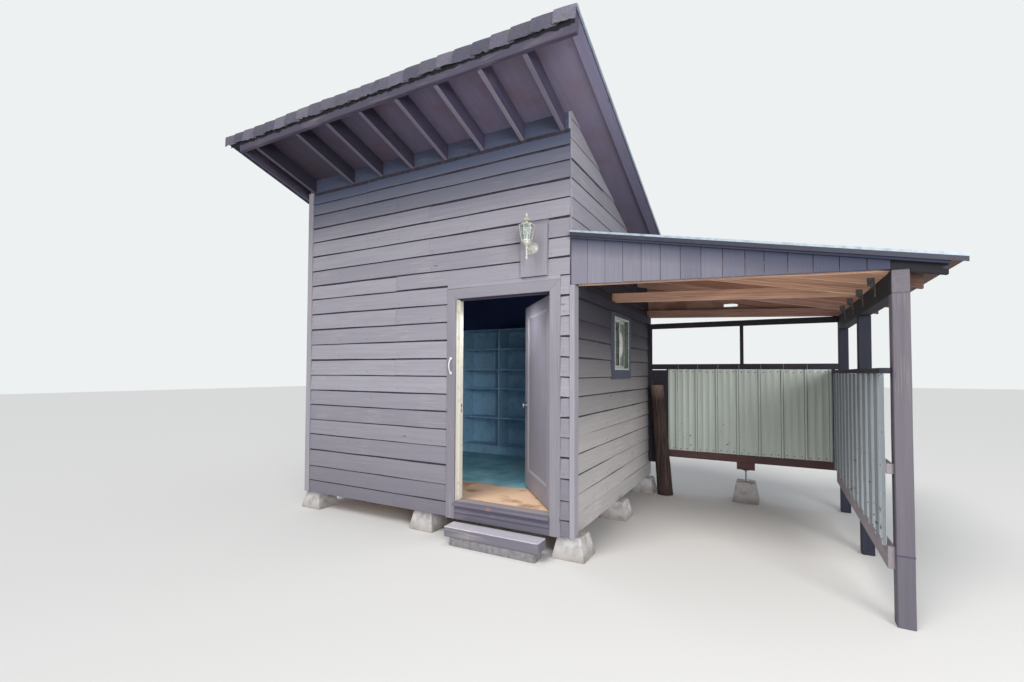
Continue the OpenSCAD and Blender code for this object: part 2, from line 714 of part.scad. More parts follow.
// Ties from the ledger on the wall to the beam, behind the front rafter, beside a middle one and before the last
module lean_ties() color(raw_wood) {
    last = lean_rafters_n - 1;
    xc = post_x0 - 20;
    slab([lean_x0, corner_d + 2, ledger_z0], [lean_x0 + rafter_w, lean_y1, tie_foot(lean_x0 + rafter_w)]);
    for (y = [rafter_w, lean_rafter_y(floor(last / 2)) + rafter_w, lean_rafter_y(last) - rafter_w])
        prism_y([[lean_x0, tie_foot(lean_x0)], [post_x0, beam_top], [post_x1, beam_top], [post_x1, lean_seat(post_x1)],
            [xc, min(lean_seat(xc), beam_top + tie_h)], [lean_x0, tie_foot(lean_x0) + tie_h]], y, y + rafter_w);
}

// Upright fascia boards on the front rafter and tie, with a thin trim under the roof's edge
board_gap = 2;
module lean_fascia() color(brown) {
    x_end = post_x0 - 5;
    for (i = [0 : floor((x_end - lean_x0) / board_w)]) {
        x0 = lean_x0 + i * board_w;
        x1 = min(x0 + board_w - board_gap, x_end);
        if (x1 > x0 + 1)
            prism_y([[x0, tie_foot(x0)], [x1, tie_foot(x1)], [x1, lean_seat(x1)], [x0, lean_seat(x0)]], -board_t, 0);
    }
    prism_y([[lean_x0, lean_seat(lean_x0) - 34], [lean_x1, lean_seat(lean_x1) - 34], [lean_x1, lean_seat(lean_x1)],
        [lean_x0, lean_seat(lean_x0)]], -board_t - 18, -board_t);
}

module lean_deck() color(raw_wood) {
    t = lean_deck_t / cos(lean_pitch);
    prism_y([[lean_x0, lean_top(lean_x0)], [lean_edge, lean_top(lean_edge)], [lean_edge, lean_top(lean_edge) + t],
        [lean_x0, lean_top(lean_x0) + t]], lean_front, lean_rear);
}

module lean_roofing() color(shingle) {
    t0 = lean_deck_t / cos(lean_pitch);
    t1 = t0 + lean_roof_t / cos(lean_pitch);
    prism_y([[lean_x0, lean_top(lean_x0) + t0], [lean_edge, lean_top(lean_edge) + t0],
        [lean_edge, lean_top(lean_edge) + t1], [lean_x0, lean_top(lean_x0) + t1]], lean_front, lean_rear);
}

// Bent steel straps that hold the rafters to the beam's inner face
module beam_brackets() color("#c8c2bd") {
    for (i = [1 : lean_rafters_n - 2]) {
        y = lean_rafter_y(i);
        slab([post_x0 - 3, y - 42, beam_top - 95], [post_x0, y, beam_top - 10]);
        slab([post_x0 - 45, y - 3, beam_top - 10], [post_x0, y, beam_top + 45]);
    }
}

// Panel that closes the gable over the rear tie
panel_t = 12;
module rear_gable_panel() color(raw_wood) difference() {
    prism_y([[lean_x0, tie_foot(lean_x0)], [post_x0, beam_top], [post_x1, beam_top], [post_x1, lean_seat(post_x1)],
        [lean_x0, lean_seat(lean_x0)]], lean_y1, lean_y1 + panel_t);
    slab([910, lean_y1 - 1, tie_foot(0) + 88], [1060, lean_y1 + panel_t + 1, tie_foot(0) + 122]);
}

// Rails, studs and a dark closing board of the wall at the back of the boat bay, from the shed's corner to the rear post
module back_frame() color("#463c43") {
    y1 = frame_y + frame_t;
    slab([corner_x, frame_y, back_rail_z - 65], [post_x0, y1, back_rail_z]);
    slab([corner_x, frame_y, sheet_top], [post_x0, y1, sheet_top + 66]);
    slab([corner_x, frame_y, sheet_foot - 90], [post_x0, y1, sheet_foot]);
    slab([corner_x, frame_y, sheet_foot], [corner_x + 47, y1, sheet_top]);
    slab([corner_x, frame_y, sheet_top + 66], [corner_x + 47, y1, back_rail_z - 65]);
    slab([1080, frame_y, sheet_top + 66], [1118, y1, back_rail_z - 65]);
    slab([prop_x - 95, frame_y, prop_top], [prop_x + 95, y1, sheet_foot - 90]);
    slab([corner_x, frame_y - 19, sheet_foot - 170], [back_sheet_from - 8, frame_y, sheet_top - 8]);
}

// Outline of a sheet's outer face along its width: a main rib at every step and two low ribs between each pair
sheet_t = 2;
low_rib = 5;
function rib_points(w) = [for (i = [0 : ceil(w / rib_gap)]) let (x = i * rib_gap)
    each [[x, 0], [x + 9, rib_h], [x + 27, rib_h], [x + 36, 0], [x + 88, 0], [x + 94, low_rib], [x + 104, low_rib],
        [x + 110, 0], [x + 158, 0], [x + 164, low_rib], [x + 174, low_rib], [x + 180, 0]]];
function sheet_points(w) = [for (p = rib_points(w)) if (p[0] < w - 1) p];
module ribbed_sheet(w, h) {
    front = concat(sheet_points(w), [[w, 0]]);
    back = [for (i = [len(front) - 1 : -1 : 0]) [front[i][0], front[i][1] - sheet_t]];
    linear_extrude(h) polygon(concat(front, back));
}

// Ribbed metal sheets on the inner side of the back frame
module back_sheets() color(metal_green) {
    x1 = post_x0 - frame_t - rib_h - 8;
    translate([x1, frame_y - sheet_t, sheet_foot]) rotate([0, 0, 180])
        ribbed_sheet(x1 - back_sheet_from, sheet_top - sheet_foot);
}

// Rails on the inner faces of the side posts, and the flat rail on top of the side sheets
module side_rails() color(brown) {
    x0 = post_x0 - frame_t;
    y0 = 20;
    y1 = frame_y - rib_h - 12;
    slab([x0, y0, side_foot - 130], [post_x0, y1, side_foot]);
    slab([x0, y0, side_foot + 430], [post_x0, y1, side_foot + 490]);
    slab([x0 - rib_h - 6, y0, side_top], [post_x0, y1, side_top + 34]);
}

// Ribbed metal sheets on the inner side of the side rails
module side_sheets() color(metal_green) {
    y0 = 22;
    y1 = frame_y - rib_h - 12;
    translate([post_x0 - frame_t - sheet_t, y0, side_foot]) rotate([0, 0, 90])
        ribbed_sheet(y1 - y0, side_top - side_foot);
}

// Stub of a log that leans beside the shed's back corner
module log_post() color("#8a6a50") {
    r = log_d / 2;
    hull() {
        translate([log_x, log_y, 0]) cylinder(r = r, h = 10, $fn = 16);
        translate([log_x - 95, log_y, log_h - 10]) cylinder(r = 0.83 * r, h = 10, $fn = 16);
    }
}

// Threaded rod with its round plates and nuts, between the prop block and the rail of the back frame
module prop_rod() color("#8b8f92") {
    translate([prop_x, prop_y, prop_z]) cylinder(r = 8, h = prop_top - prop_z);
    translate([prop_x, prop_y, prop_z]) cylinder(r = 30, h = 5);
    translate([prop_x, prop_y, prop_top - 5]) cylinder(r = 38, h = 5);
    translate([prop_x, prop_y, prop_top - 18]) cylinder(r = 15, h = 13, $fn = 6);
}

pier_blocks();
floor_frame();
floor_boards();
front_wall_left();
front_wall_right();
front_wall_over_door();
left_wall();
back_wall();
right_wall();
corner_trim();
roof_rafters();
eave_blocks();
roof_fascias();
roof_deck();
roof_shingles();
shingle_caps();
drip_edges();
door_frame();
casing_boards();
door_step();
door_hinges();
door_leaf();
door_knobs();
pull_handle();
window_frame();
window_glass();
lantern_board();
lantern();
lantern_glass();
shelf_unit();
lean_posts();
lean_beam();
lean_ties();
lean_rafters();
beam_brackets();
lean_fascia();
lean_deck();
lean_roofing();
rear_gable_panel();
back_frame();
back_sheets();
side_rails();
side_sheets();
log_post();
prop_rod();
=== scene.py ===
import math
import random
import bmesh
import bpy
from mathutils import Matrix, Vector, noise


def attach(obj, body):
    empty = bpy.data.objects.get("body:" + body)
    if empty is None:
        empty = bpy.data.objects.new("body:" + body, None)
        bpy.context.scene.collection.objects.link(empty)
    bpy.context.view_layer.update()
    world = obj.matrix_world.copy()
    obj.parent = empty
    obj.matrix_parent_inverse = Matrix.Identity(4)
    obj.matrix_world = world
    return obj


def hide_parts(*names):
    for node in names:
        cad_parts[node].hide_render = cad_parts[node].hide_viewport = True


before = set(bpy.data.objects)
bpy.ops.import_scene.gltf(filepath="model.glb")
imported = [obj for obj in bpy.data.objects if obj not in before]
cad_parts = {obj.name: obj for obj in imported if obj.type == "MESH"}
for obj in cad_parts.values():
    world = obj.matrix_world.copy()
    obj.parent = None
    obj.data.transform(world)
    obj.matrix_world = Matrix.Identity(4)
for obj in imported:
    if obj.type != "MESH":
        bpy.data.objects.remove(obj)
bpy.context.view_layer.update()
chance = random.Random(31)
noise.seed_set(31)

# Concrete blocks
# Cast deck blocks under the shed's corners and mid spans, a long one under the step and one under the prop.
# Grey cement with fine sand pits; the arrises chip as the moulds come off.


def colour(hex_text):
    """The linear values of a colour that is written in hex."""
    parts = [int(hex_text[i:i + 2], 16) / 255 for i in (1, 3, 5)]
    return tuple([c / 12.92 if c <= 0.04045 else ((c + 0.055) / 1.055) ** 2.4 for c in parts] + [1.0])


def new_finish(name):
    finish = bpy.data.materials.new(name)
    finish.use_nodes = True
    finish.node_tree.nodes.clear()
    return finish


def add(finish, kind, inputs=None, **settings):
    """Adds a node; an input is a number, a hex colour, a socket, or a node whose first output is meant."""
    made = finish.node_tree.nodes.new("ShaderNode" + kind)
    for name, value in settings.items():
        setattr(made, name, value)
    for name, value in (inputs or {}).items():
        value = value.outputs[0] if isinstance(value, bpy.types.Node) else value
        if isinstance(value, bpy.types.NodeSocket):
            finish.node_tree.links.new(value, made.inputs[name])
        else:
            made.inputs[name].default_value = colour(value) if isinstance(value, str) else value
    return made


def outward(mesh, thick=0.0):
    """Turns a mesh's faces outwards, and gives a thin skin its thickness."""
    bmesh.ops.recalc_face_normals(mesh, faces=mesh.faces)
    if thick:
        bmesh.ops.solidify(mesh, geom=list(mesh.faces), thickness=thick)


def cut(outline, axis, low, high, along, arris=0.002, bits=0.0, wander=0.0):
    """A length of material with a given outline, its arrises eased; along is the way its grain runs."""
    solid = bmesh.new()
    ring = []
    for a, b in outline:
        spot = {"x": (low, a, b), "y": (a, low, b), "z": (a, b, low)}[axis]
        ring.append(solid.verts.new(spot))
    swept = bmesh.ops.extrude_face_region(solid, geom=[solid.faces.new(ring)])
    far = [g for g in swept["geom"] if isinstance(g, bmesh.types.BMVert)]
    way = {"x": Vector((1, 0, 0)), "y": Vector((0, 1, 0)), "z": Vector((0, 0, 1))}[axis]
    bmesh.ops.translate(solid, vec=way * (high - low), verts=far)
    outward(solid)
    return worked(solid, along, arris, bits, wander)


def worked(solid, along=(0, 0, 1), arris=0.0, bits=0.0, wander=0.0, tone=None):
    """Eases a solid's arrises, splits it every so often along the grain and lets it wander a little."""
    along = Vector(along).normalized()
    eased = set()
    if arris:
        bevelled = bmesh.ops.bevel(solid, geom=list(solid.edges), offset=arris, segments=1, affect="EDGES",
                                   clamp_overlap=True, profile=0.5)
        eased = set(bevelled["faces"])
    reach = [v.co.dot(along) for v in solid.verts]
    start, span = min(reach), max(reach) - min(reach)
    mark = solid.faces.layers.float.new("eased")
    for face in solid.faces:
        face[mark] = 1.0 if face in eased else 0.0
    if bits and span > 1.5 * bits:
        count = int(span / bits)
        for i in range(1, count + 1):
            place = along * (start + span * i / (count + 1))
            everything = list(solid.verts) + list(solid.edges) + list(solid.faces)
            bmesh.ops.bisect_plane(solid, geom=everything, plane_co=place, plane_no=along, dist=1e-6)
    side = Vector((1, 0, 0)) if abs(along.z) > 0.9 else along.cross(Vector((0.31, 0.2, 1))).normalized()
    up = along.cross(side).normalized()
    shift = Vector((chance.uniform(0, 40), chance.uniform(0, 40), chance.uniform(0, 40)))
    if wander:
        aside, upward = wander if isinstance(wander, tuple) else (wander, wander)
        for v in solid.verts:
            sway = noise.noise_vector(Vector((v.co.dot(along) * 2.2, 0, 0)) + shift)
            v.co += side * sway.x * aside + up * sway.y * upward
    verts = sorted(solid.verts, key=lambda v: tuple(round(c, 6) for c in v.co))
    for i, v in enumerate(verts):
        v.index = i
    points = [v.co.copy() for v in verts]
    # The faces start at their lowest point and stand in a fixed order, so that each run gives the same mesh
    loops = []
    for face in solid.faces:
        loop = [v.index for v in face.verts]
        first = loop.index(min(loop))
        loops.append((loop[first:] + loop[:first], face[mark], face.material_index))
    loops.sort()
    made = {
        "points": points,
        "grain": [(p.dot(along) + shift.x, p.dot(side) + shift.y, p.dot(up) + shift.z) for p in points],
        "tone": chance.random() if tone is None else tone,
        "faces": [loop[0] for loop in loops],
        "eased": [loop[1] for loop in loops],
        "slots": [loop[2] for loop in loops] if any(loop[2] for loop in loops) else None,
        "slot": 0}
    solid.free()
    return made


def in_slot(solid, slot):
    """Gives a length one of its piece's finishes."""
    solid["slot"] = slot
    return solid


def join(name, solids, finishes, body="building", replaces=(), smooth=False):
    """One piece of the scene out of the lengths that were cut for it."""
    points, faces, grain, tone, eased, slots = [], [], [], [], [], []
    for solid in solids:
        first = len(points)
        points += solid["points"]
        grain += solid["grain"]
        tone += [solid["tone"]] * len(solid["points"])
        faces += [[first + i for i in f] for f in solid["faces"]]
        eased += solid["eased"]
        slots += solid.get("slots") or [solid["slot"]] * len(solid["faces"])
    mesh = bpy.data.meshes.new(name)
    mesh.from_pydata([tuple(p) for p in points], [], faces)
    grain_values = mesh.attributes.new("grain", "FLOAT_VECTOR", "POINT").data
    grain_values.foreach_set("vector", [c for g in grain for c in g])
    mesh.attributes.new("tone", "FLOAT", "POINT").data.foreach_set("value", tone)
    mesh.attributes.new("eased", "FLOAT", "FACE").data.foreach_set("value", eased)
    for finish in finishes if isinstance(finishes, (list, tuple)) else [finishes]:
        mesh.materials.append(finish)
    mesh.polygons.foreach_set("material_index", slots)
    mesh.polygons.foreach_set("use_smooth", [smooth] * len(faces))
    mesh.update()
    piece = bpy.data.objects.new(name, mesh)
    bpy.context.scene.collection.objects.link(piece)
    if smooth:
        mesh.set_sharp_from_angle(angle=math.radians(42))
    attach(piece, body)
    if replaces:
        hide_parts(*replaces)
    return piece


def finish_where(solid, slot, test):
    """Gives the faces that pass a test of their normal and middle another of the piece's finishes."""
    slots = solid["slots"] or [solid["slot"]] * len(solid["faces"])
    for k, face in enumerate(solid["faces"]):
        p = [solid["points"][i] for i in face]
        normal = (p[1] - p[0]).cross(p[2] - p[0]).normalized()
        if test(normal, sum(p, Vector()) / len(p)):
            slots[k] = slot
    solid["slots"] = slots
    return solid


def readings(finish):
    """What a point knows: its place in the grain, its length's tone, an eased arris, and where it is."""
    grain, tone, eased = [add(finish, "Attribute", attribute_name=name)
                          for name in ("grain", "tone", "eased")]
    place = add(finish, "TexCoord")
    return grain.outputs["Vector"], tone.outputs["Fac"], eased.outputs["Fac"], place.outputs["Object"]


def pattern(finish, vector, size, kind="TexNoise", **more):
    """A pattern at real size, in metres: one size, or one for each axis of the vector."""
    inputs = {"Vector": vector, "Scale": 1.0}
    if isinstance(size, tuple):
        inputs["Vector"] = add(finish, "Mapping", {"Vector": vector, "Scale": [1 / s for s in size]})
    else:
        inputs["Scale"] = 1 / size
    inputs.update(more)
    return add(finish, kind, inputs)


def tinted(finish, base, value, start, end, tint, share=1.0, least=0.0):
    """Lays a tint over a colour; its strength goes from least to share as a value goes from start to end."""
    strength = add(finish, "MapRange", {"Value": value, "From Min": start, "From Max": end, "To Min": least,
                                        "To Max": share})
    return add(finish, "MixRGB", {"Fac": strength, "Color1": base, "Color2": tint})


def shade_over(finish, place, base, marks):
    """Shades on a colour: colour, share, a way with two distances along it, or a point with two radii."""
    for tint, share, vector, start, end in marks:
        kind = "DISTANCE" if start > end else "DOT_PRODUCT"
        measured = add(finish, "VectorMath", {0: place, 1: vector}, operation=kind)
        base = tinted(finish, base, measured.outputs["Value"], start, end, tint, share)
    return base


def dress(finish, base, rough, relief=None, strength=0.0, deep=0.0, more=None):
    """Ends a finish: its colour and roughness, and relief of a given depth where a pattern makes it."""
    inputs = dict(more or {})
    inputs.update({"Base Color": base, "Roughness": rough})
    if relief is not None:
        inputs["Normal"] = add(finish, "Bump", {"Height": relief, "Strength": strength, "Distance": deep})
    add(finish, "OutputMaterial", {"Surface": add(finish, "BsdfPrincipled", inputs)})
    return finish


def blotched(name, one, two, size, rough, rough_two=None, metal=0.0, edge=(0.3, 0.7), detail=5.0,
             stretch=1.0, more=None):
    """A surface that drifts between two colours, and two roughnesses, in patches of a given size."""
    finish = new_finish(name)
    place = add(finish, "TexCoord").outputs["Object"]
    patches = pattern(finish, place, (size, size, size * stretch), Detail=detail)
    share = add(finish, "MapRange", {"Value": patches, "From Min": edge[0], "From Max": edge[1]})
    mixed = add(finish, "MixRGB", {"Fac": share, "Color1": one, "Color2": two})
    roughness = add(finish, "MapRange", {"Value": share, "To Min": rough, "To Max": rough_two or rough})
    return dress(finish, mixed, roughness, more=dict(more or {}, Metallic=metal))


# Cast concrete: matt, sandy and blotched where it stays damp; the sand is drawn at 6 mm to show
cast_concrete = new_finish("cast_concrete")
place = add(cast_concrete, "TexCoord").outputs["Object"]
sand = pattern(cast_concrete, place, 0.006, Detail=4.0)
damp = pattern(cast_concrete, place, 0.09, Detail=5.0)
body_colour = tinted(cast_concrete, "#b3b1b2", damp, 0.42, 0.66, "#8d8986")
speckled = add(cast_concrete, "MixRGB", {"Fac": sand, "Color1": body_colour, "Color2": "#d2d0cc"},
               blend_type="SOFT_LIGHT")
height = add(cast_concrete, "SeparateXYZ", {"Vector": place}).outputs["Z"]
soiled = tinted(cast_concrete, speckled, height, 0.0, 0.09, "#8f8375", 0.0, 0.55)
dress(cast_concrete, soiled, 0.93, sand, 0.5, 0.002)


def cast_block(x, y, wide, deep, top_share, tall):
    """A block that narrows to its top, with chipped arrises and a slightly uneven skin."""
    block = bmesh.new()
    bmesh.ops.create_cube(block, size=1.0)
    for v in block.verts:
        share = top_share if v.co.z > 0 else 1.0
        v.co = Vector((x + v.co.x * wide * share, y + v.co.y * deep * share, (v.co.z + 0.5) * tall))
    bmesh.ops.bevel(block, geom=list(block.edges), offset=0.009, segments=2, affect="EDGES", profile=0.6)
    middle = Vector((x, y, tall / 2))
    bmesh.ops.subdivide_edges(block, edges=[e for e in block.edges if e.calc_length() > 0.04], cuts=4,
                              use_grid_fill=True)
    for v in block.verts:
        chip = max(0.0, noise.noise(v.co * 19)) * 0.006 + max(0.0, noise.noise(v.co * 55)) * 0.002
        v.co -= (v.co - middle).normalized() * chip
    outward(block)
    return worked(block)


pier_wide, pier_top_share, pier_tall = 0.28, 200 / 280, 0.18
pier_spots = [(x, y) for x in (-3.02, -1.5, -0.02) for y in (0.12, 2.55)] + [(-3.02, 1.335), (-0.02, 1.335)]
blocks = [cast_block(x, y, pier_wide, pier_wide, pier_top_share, pier_tall) for x, y in pier_spots]
blocks.append(cast_block(1.13, 2.669, pier_wide, pier_wide, pier_top_share, 0.23))
join("pier_blocks_cast", blocks, cast_concrete, replaces=["pier_blocks"])
# The long block under the step is a darker, blotched grey
dark_step_block_concrete = blotched("dark_step_block_concrete", "#6f6c70", "#8b888a", 0.03, 0.95, detail=8.0)
join("step_block_cast", [cast_block(-0.63, -0.125, 0.82, 0.14, 0.985, 0.072)], dark_step_block_concrete)

# Floor
# Sawn fir joists on the blocks under plywood sheets. The plywood is bare and trodden tan inside the door,
# and painted blue-green beyond it, with the brush's ragged edge between the two.

# Sawn fir, unpainted: orange-brown, banded along the grain; a growth ring is about 3 mm and is drawn at 9 mm
sawn_fir = new_finish("sawn_fir")
grain, tone, eased, place = readings(sawn_fir)
bands = pattern(sawn_fir, grain, (0.45, 0.009, 0.009), Detail=3.0, Distortion=0.6)
drift = pattern(sawn_fir, grain, (0.9, 0.12, 0.12), Detail=2.0)
wood = add(sawn_fir, "MixRGB", {"Fac": tone, "Color1": "#d09d86", "Color2": "#ebc5aa"})
wood = tinted(sawn_fir, wood, bands, 0.42, 0.68, "#6a3d2e", 0.55)
wood = tinted(sawn_fir, wood, drift, 0.45, 0.75, "#7d5f55", 0.5)
wood = tinted(sawn_fir, wood, eased, 0.0, 1.0, "#c59a72", 0.35)
# Painted shade: darker towards the back of the shed and shelter. Past the beam's outer side it turns dark
# red-brown.
wood = shade_over(sawn_fir, place, wood,
                  [("#6a4a4c", 0.6, (0, 1, 0), 0.9, 2.6), ("#3b1a18", 0.85, (1, 0, 0), 2.12, 2.16)])
dress(sawn_fir, wood, 0.78, bands, 0.35, 0.0015)


def plank(low, high, along=None, arris=0.002, bits=0.0, wander=0.0):
    """A square-edged length between two corners; its grain runs the long way unless said."""
    size = [high[i] - low[i] for i in range(3)]
    if along is None:
        along = [(1, 0, 0), (0, 1, 0), (0, 0, 1)][size.index(max(size))]
    outline = [(low[0], low[1]), (high[0], low[1]), (high[0], high[1]), (low[0], high[1])]
    return cut(outline, "z", low[2], high[2], along, arris, bits, wander)


two_by = 0.038
wall_foot, joist_top, floor_top = 0.18, 0.297, 0.315
shed_left, shed_deep = -3.1, 2.75
room_left, room_right, room_front, room_rear = -2.99, -0.11, 0.11, 2.64
joists = []
for i, y in enumerate([room_front, room_rear - two_by] + [room_front + k * 0.406 for k in range(1, 6)]):
    shape = {"bits": 0.5, "wander": 0.001} if i > 1 else {}
    joists.append(plank((room_left, y, wall_foot), (room_right, y + two_by, joist_top), **shape))
join("floor_joists_sawn", joists, sawn_fir, replaces=["floor_frame"])

# Plywood floor, rotary-cut face: bare tan near the door and painted beyond 0.7 m, scuffed where feet turn
floor_ply = new_finish("painted_plywood_floor")
place = add(floor_ply, "TexCoord").outputs["Object"]
inward = add(floor_ply, "SeparateXYZ", {"Vector": place}).outputs["Y"]
brush = pattern(floor_ply, place, 0.11, Detail=6.0)
paint_edge = add(floor_ply, "Math", {0: brush, 1: 0.16, 2: inward}, operation="MULTIPLY_ADD")
figure = pattern(floor_ply, place, (0.5, 0.05, 1.0), Detail=5.0, Distortion=1.6)
scuff = pattern(floor_ply, place, 0.25, Detail=8.0)
bare = add(floor_ply, "MixRGB", {"Fac": figure, "Color1": "#f8dabd", "Color2": "#e0b490"})
trodden = tinted(floor_ply, bare, scuff, 0.52, 0.66, "#8f5f45", 0.75)
paint = tinted(floor_ply, "#6cb4c6", scuff, 0.35, 0.72, "#afe0e8")
dress(floor_ply, tinted(floor_ply, trodden, paint_edge, 0.80, 0.84, paint), 0.55)
floor_sheets = []
for x0, x1 in ((room_left, -2.55), (-2.546, -1.33), (-1.326, room_right)):
    for y0, y1 in ((room_front, 0.93), (0.934, room_rear)):
        floor_sheets.append(plank((x0, y0, joist_top), (x1, y1, floor_top), along=(1, 0, 0), arris=0.001))
join("floor_sheets_plywood", floor_sheets, floor_ply, replaces=["floor_boards"])

# Walls
# Framed walls boarded outside with bevel siding, thick at its lower edge and lapped over the board below.
# The boards are rough sawn and stained a greyish mauve; butt joints fall on the studs, and the nails show.


def stained_wood(name, stain, worn, deep, worn_share, rough=0.8, marks=(), edge_wear=0.3):
    """Rough-sawn boards under an opaque stain; the fibres are about 1 mm wide and are drawn at 7 mm."""
    finish = new_finish(name)
    grain, tone, eased, place = readings(finish)
    fibre = pattern(finish, grain, (0.30, 0.007, 0.007), Detail=3.0, Distortion=0.3)
    streak = pattern(finish, grain, (0.7, 0.028, 0.028), Detail=4.0)
    knots = pattern(finish, grain, (0.55, 0.22, 0.22), "TexVoronoi")
    cloud = pattern(finish, place, 0.4, Detail=4.0)
    surface = tinted(finish, stain, tone, 0.0, 1.0, deep, 0.7)
    surface = tinted(finish, surface, streak, 0.40, 0.70, deep, 0.45)
    surface = tinted(finish, surface, cloud, 0.45, 0.70, deep, 0.35)
    surface = tinted(finish, surface, knots, 0.035, 0.060, "#4f4854", 0.0, 0.55)
    wear = add(finish, "Math", {0: fibre, 1: cloud}, operation="MULTIPLY")
    bare = add(finish, "MapRange", {"Value": wear, "From Min": 0.27, "From Max": 0.44,
                                    "To Max": worn_share})
    rubbed = add(finish, "Math", {0: eased, 1: edge_wear, 2: bare}, operation="MULTIPLY_ADD",
                 use_clamp=True)
    surface = add(finish, "MixRGB", {"Fac": rubbed, "Color1": surface, "Color2": worn})
    return dress(finish, shade_over(finish, place, surface, marks), rough, fibre, 0.5, 0.002)


# Painted shade: the boards darken under the eaves, where the roof's overhang shades them, and towards the
# ground
mauve_siding = stained_wood("mauve_stained_siding", "#99969f", "#aea6a8", "#827f89", 0.5,
                            marks=[("#37435f", 0.92, (0, 0, 1), 2.90, 3.45),
                                   ("#5c5863", 0.66, (0, 0, -1), -1.35, -0.2)])
gable_siding = stained_wood("gable_siding", "#9e9ba4", "#b6adae", "#86838d", 0.55)
# The right wall under the shelter's roof: paler near the ground, painted light, and darker upwards, painted
# shade
shelter_painted_shade_siding = stained_wood("shelter_painted_shade_siding", "#aeabaa", "#c2bab6", "#989595", 0.55,
                                marks=[("#272836", 0.96, (0, 0, 1), 0.85, 1.9)])

# Nails: plain steel heads that the stain has covered and rust has bled through
nail_steel = blotched("stained_over_nail_heads", "#7c777f", "#5a4a48", 0.02, 0.7)

# Painted shadow under the laps: near-black on each butt's underside and on a strip just below it
lap_painted_shadow = blotched("painted_lap_shadow", "#232029", "#3d3742", 0.05, 0.9)

siding_butt, siding_thin = 0.017, 0.004
siding_cover = 0.022
dark_strip = 0.012
stud_gap = 0.4064
nail_rise = 0.032


def lap_board(start, end, low, high, crooked=0.0):
    """One siding board along local X, its face out along -Y; it leans on the board below and laps its top."""
    board = bmesh.new()
    sag = chance.uniform(-crooked, crooked)
    tip = chance.uniform(-crooked, crooked)
    shown = 1 - (siding_cover + dark_strip) / (high + siding_cover - low)
    outline = [(0.0, low + 0.002), (-siding_butt + 0.002, low), (-siding_butt, low + 0.003),
               (-siding_butt + (siding_butt - siding_thin) * shown, high - dark_strip),
               (-siding_thin, high + siding_cover), (0.0, high + siding_cover)]
    ring = [board.verts.new((start, y, z + sag)) for y, z in outline]
    swept = bmesh.ops.extrude_face_region(board, geom=[board.faces.new(ring)])
    for v in [g for g in swept["geom"] if isinstance(g, bmesh.types.BMVert)]:
        v.co += Vector((end - start, 0, tip - sag))
    outward(board)
    # The butt's underside and the strip under the next board's butt take the painted lap shadow
    for face in board.faces:
        corners = set(face.verts)
        if len(face.verts) == 4 and ({ring[0], ring[1]} <= corners or {ring[3], ring[4]} <= corners):
            face.material_index = 2
    return worked(board, (1, 0, 0), bits=0.22, wander=(0.0014, 0.0045))


def courses(edges, top, spans, crooked=0.003, joint_rows=()):
    """Rows of boards from their lower edges; spans gives a row its places from its heights."""
    rows = []
    for i, (low, high) in enumerate(zip(edges, edges[1:] + [top])):
        for start, end in spans(low, high):
            cuts = [start]
            if (i in joint_rows or chance.random() < 0.22) and end - start > 1.4:
                cuts.append(start + stud_gap * chance.randint(1, int((end - start) / stud_gap) - 1))
            cuts.append(end)
            for a, b in zip(cuts, cuts[1:]):
                rows.append(lap_board(a, b - 0.002, low, high, crooked=crooked))
    return rows


def nail_rows(edges, top, spans):
    """Nail heads above each lower edge, at the studs."""
    heads = []
    for low, high in zip(edges, edges[1:] + [top]):
        for start, end in spans(low, high) if high - low >= 0.08 else ():
            x = start + 0.03
            while x < end - 0.02:
                head = bmesh.new()
                bmesh.ops.create_cone(head, cap_ends=True, segments=7, radius1=0.0042, radius2=0.0036,
                                      depth=0.003)
                lean = (siding_butt - siding_thin) * nail_rise / (high + siding_cover - low)
                height = low + nail_rise + chance.uniform(-0.004, 0.004)
                spot = (x + chance.uniform(-0.004, 0.004), -siding_butt + lean - 0.001, height)
                head.transform(Matrix.Translation(spot) @ Matrix.Rotation(math.radians(90), 4, "X"))
                heads.append(in_slot(worked(head), 1))
                x += stud_gap
    return heads


def face_wall(solids, corner, turn):
    """Turns boards that were laid along X onto another wall."""
    place = Matrix.Translation(corner) @ Matrix.Rotation(math.radians(turn), 4, "Z")
    for solid in solids:
        solid["points"] = [place @ p for p in solid["points"]]
    return solids


eave = 3.465
rear_plate = 2.607
roof_turn = math.radians(18)
pitch = math.tan(roof_turn)
front_edges = [wall_foot + h for h in (0.0, 0.133, 0.289, 0.464, 0.630, 0.790, 0.952, 1.110, 1.274, 1.437,
                                       1.603, 1.768, 1.934, 2.100, 2.249, 2.412, 2.574, 2.732, 2.885,
                                       3.033, 3.155)]
casing_left, casing_right, casing_top = -1.202, -0.083, 2.244
lantern_left, lantern_right, lantern_low, lantern_high = -0.440, -0.194, 2.280, 2.715
jamb_back_left, jamb_back_right, jamb_back_head = -1.130, -0.155, 2.172
wall_end = -3.045


def front_spans(low, high):
    """The front wall's rows stop at the door casing and at the lantern's board."""
    if low < casing_top - 0.01:
        return [(wall_end, casing_left), (casing_right, 0.0)]
    if lantern_low < (low + high) / 2 < lantern_high:
        return [(wall_end, lantern_left - 0.003), (lantern_right + 0.004, 0.0)]
    return [(wall_end, 0.0)]


front_rows = courses(front_edges, eave - 0.022, front_spans, crooked=0.0035,
                     joint_rows=(13, 15, 16, 17, 18, 19, 20))
front_rows.append(lap_board(casing_left, casing_right, casing_top + 0.001, front_edges[14]))
front_rows += nail_rows(front_edges, eave, front_spans)
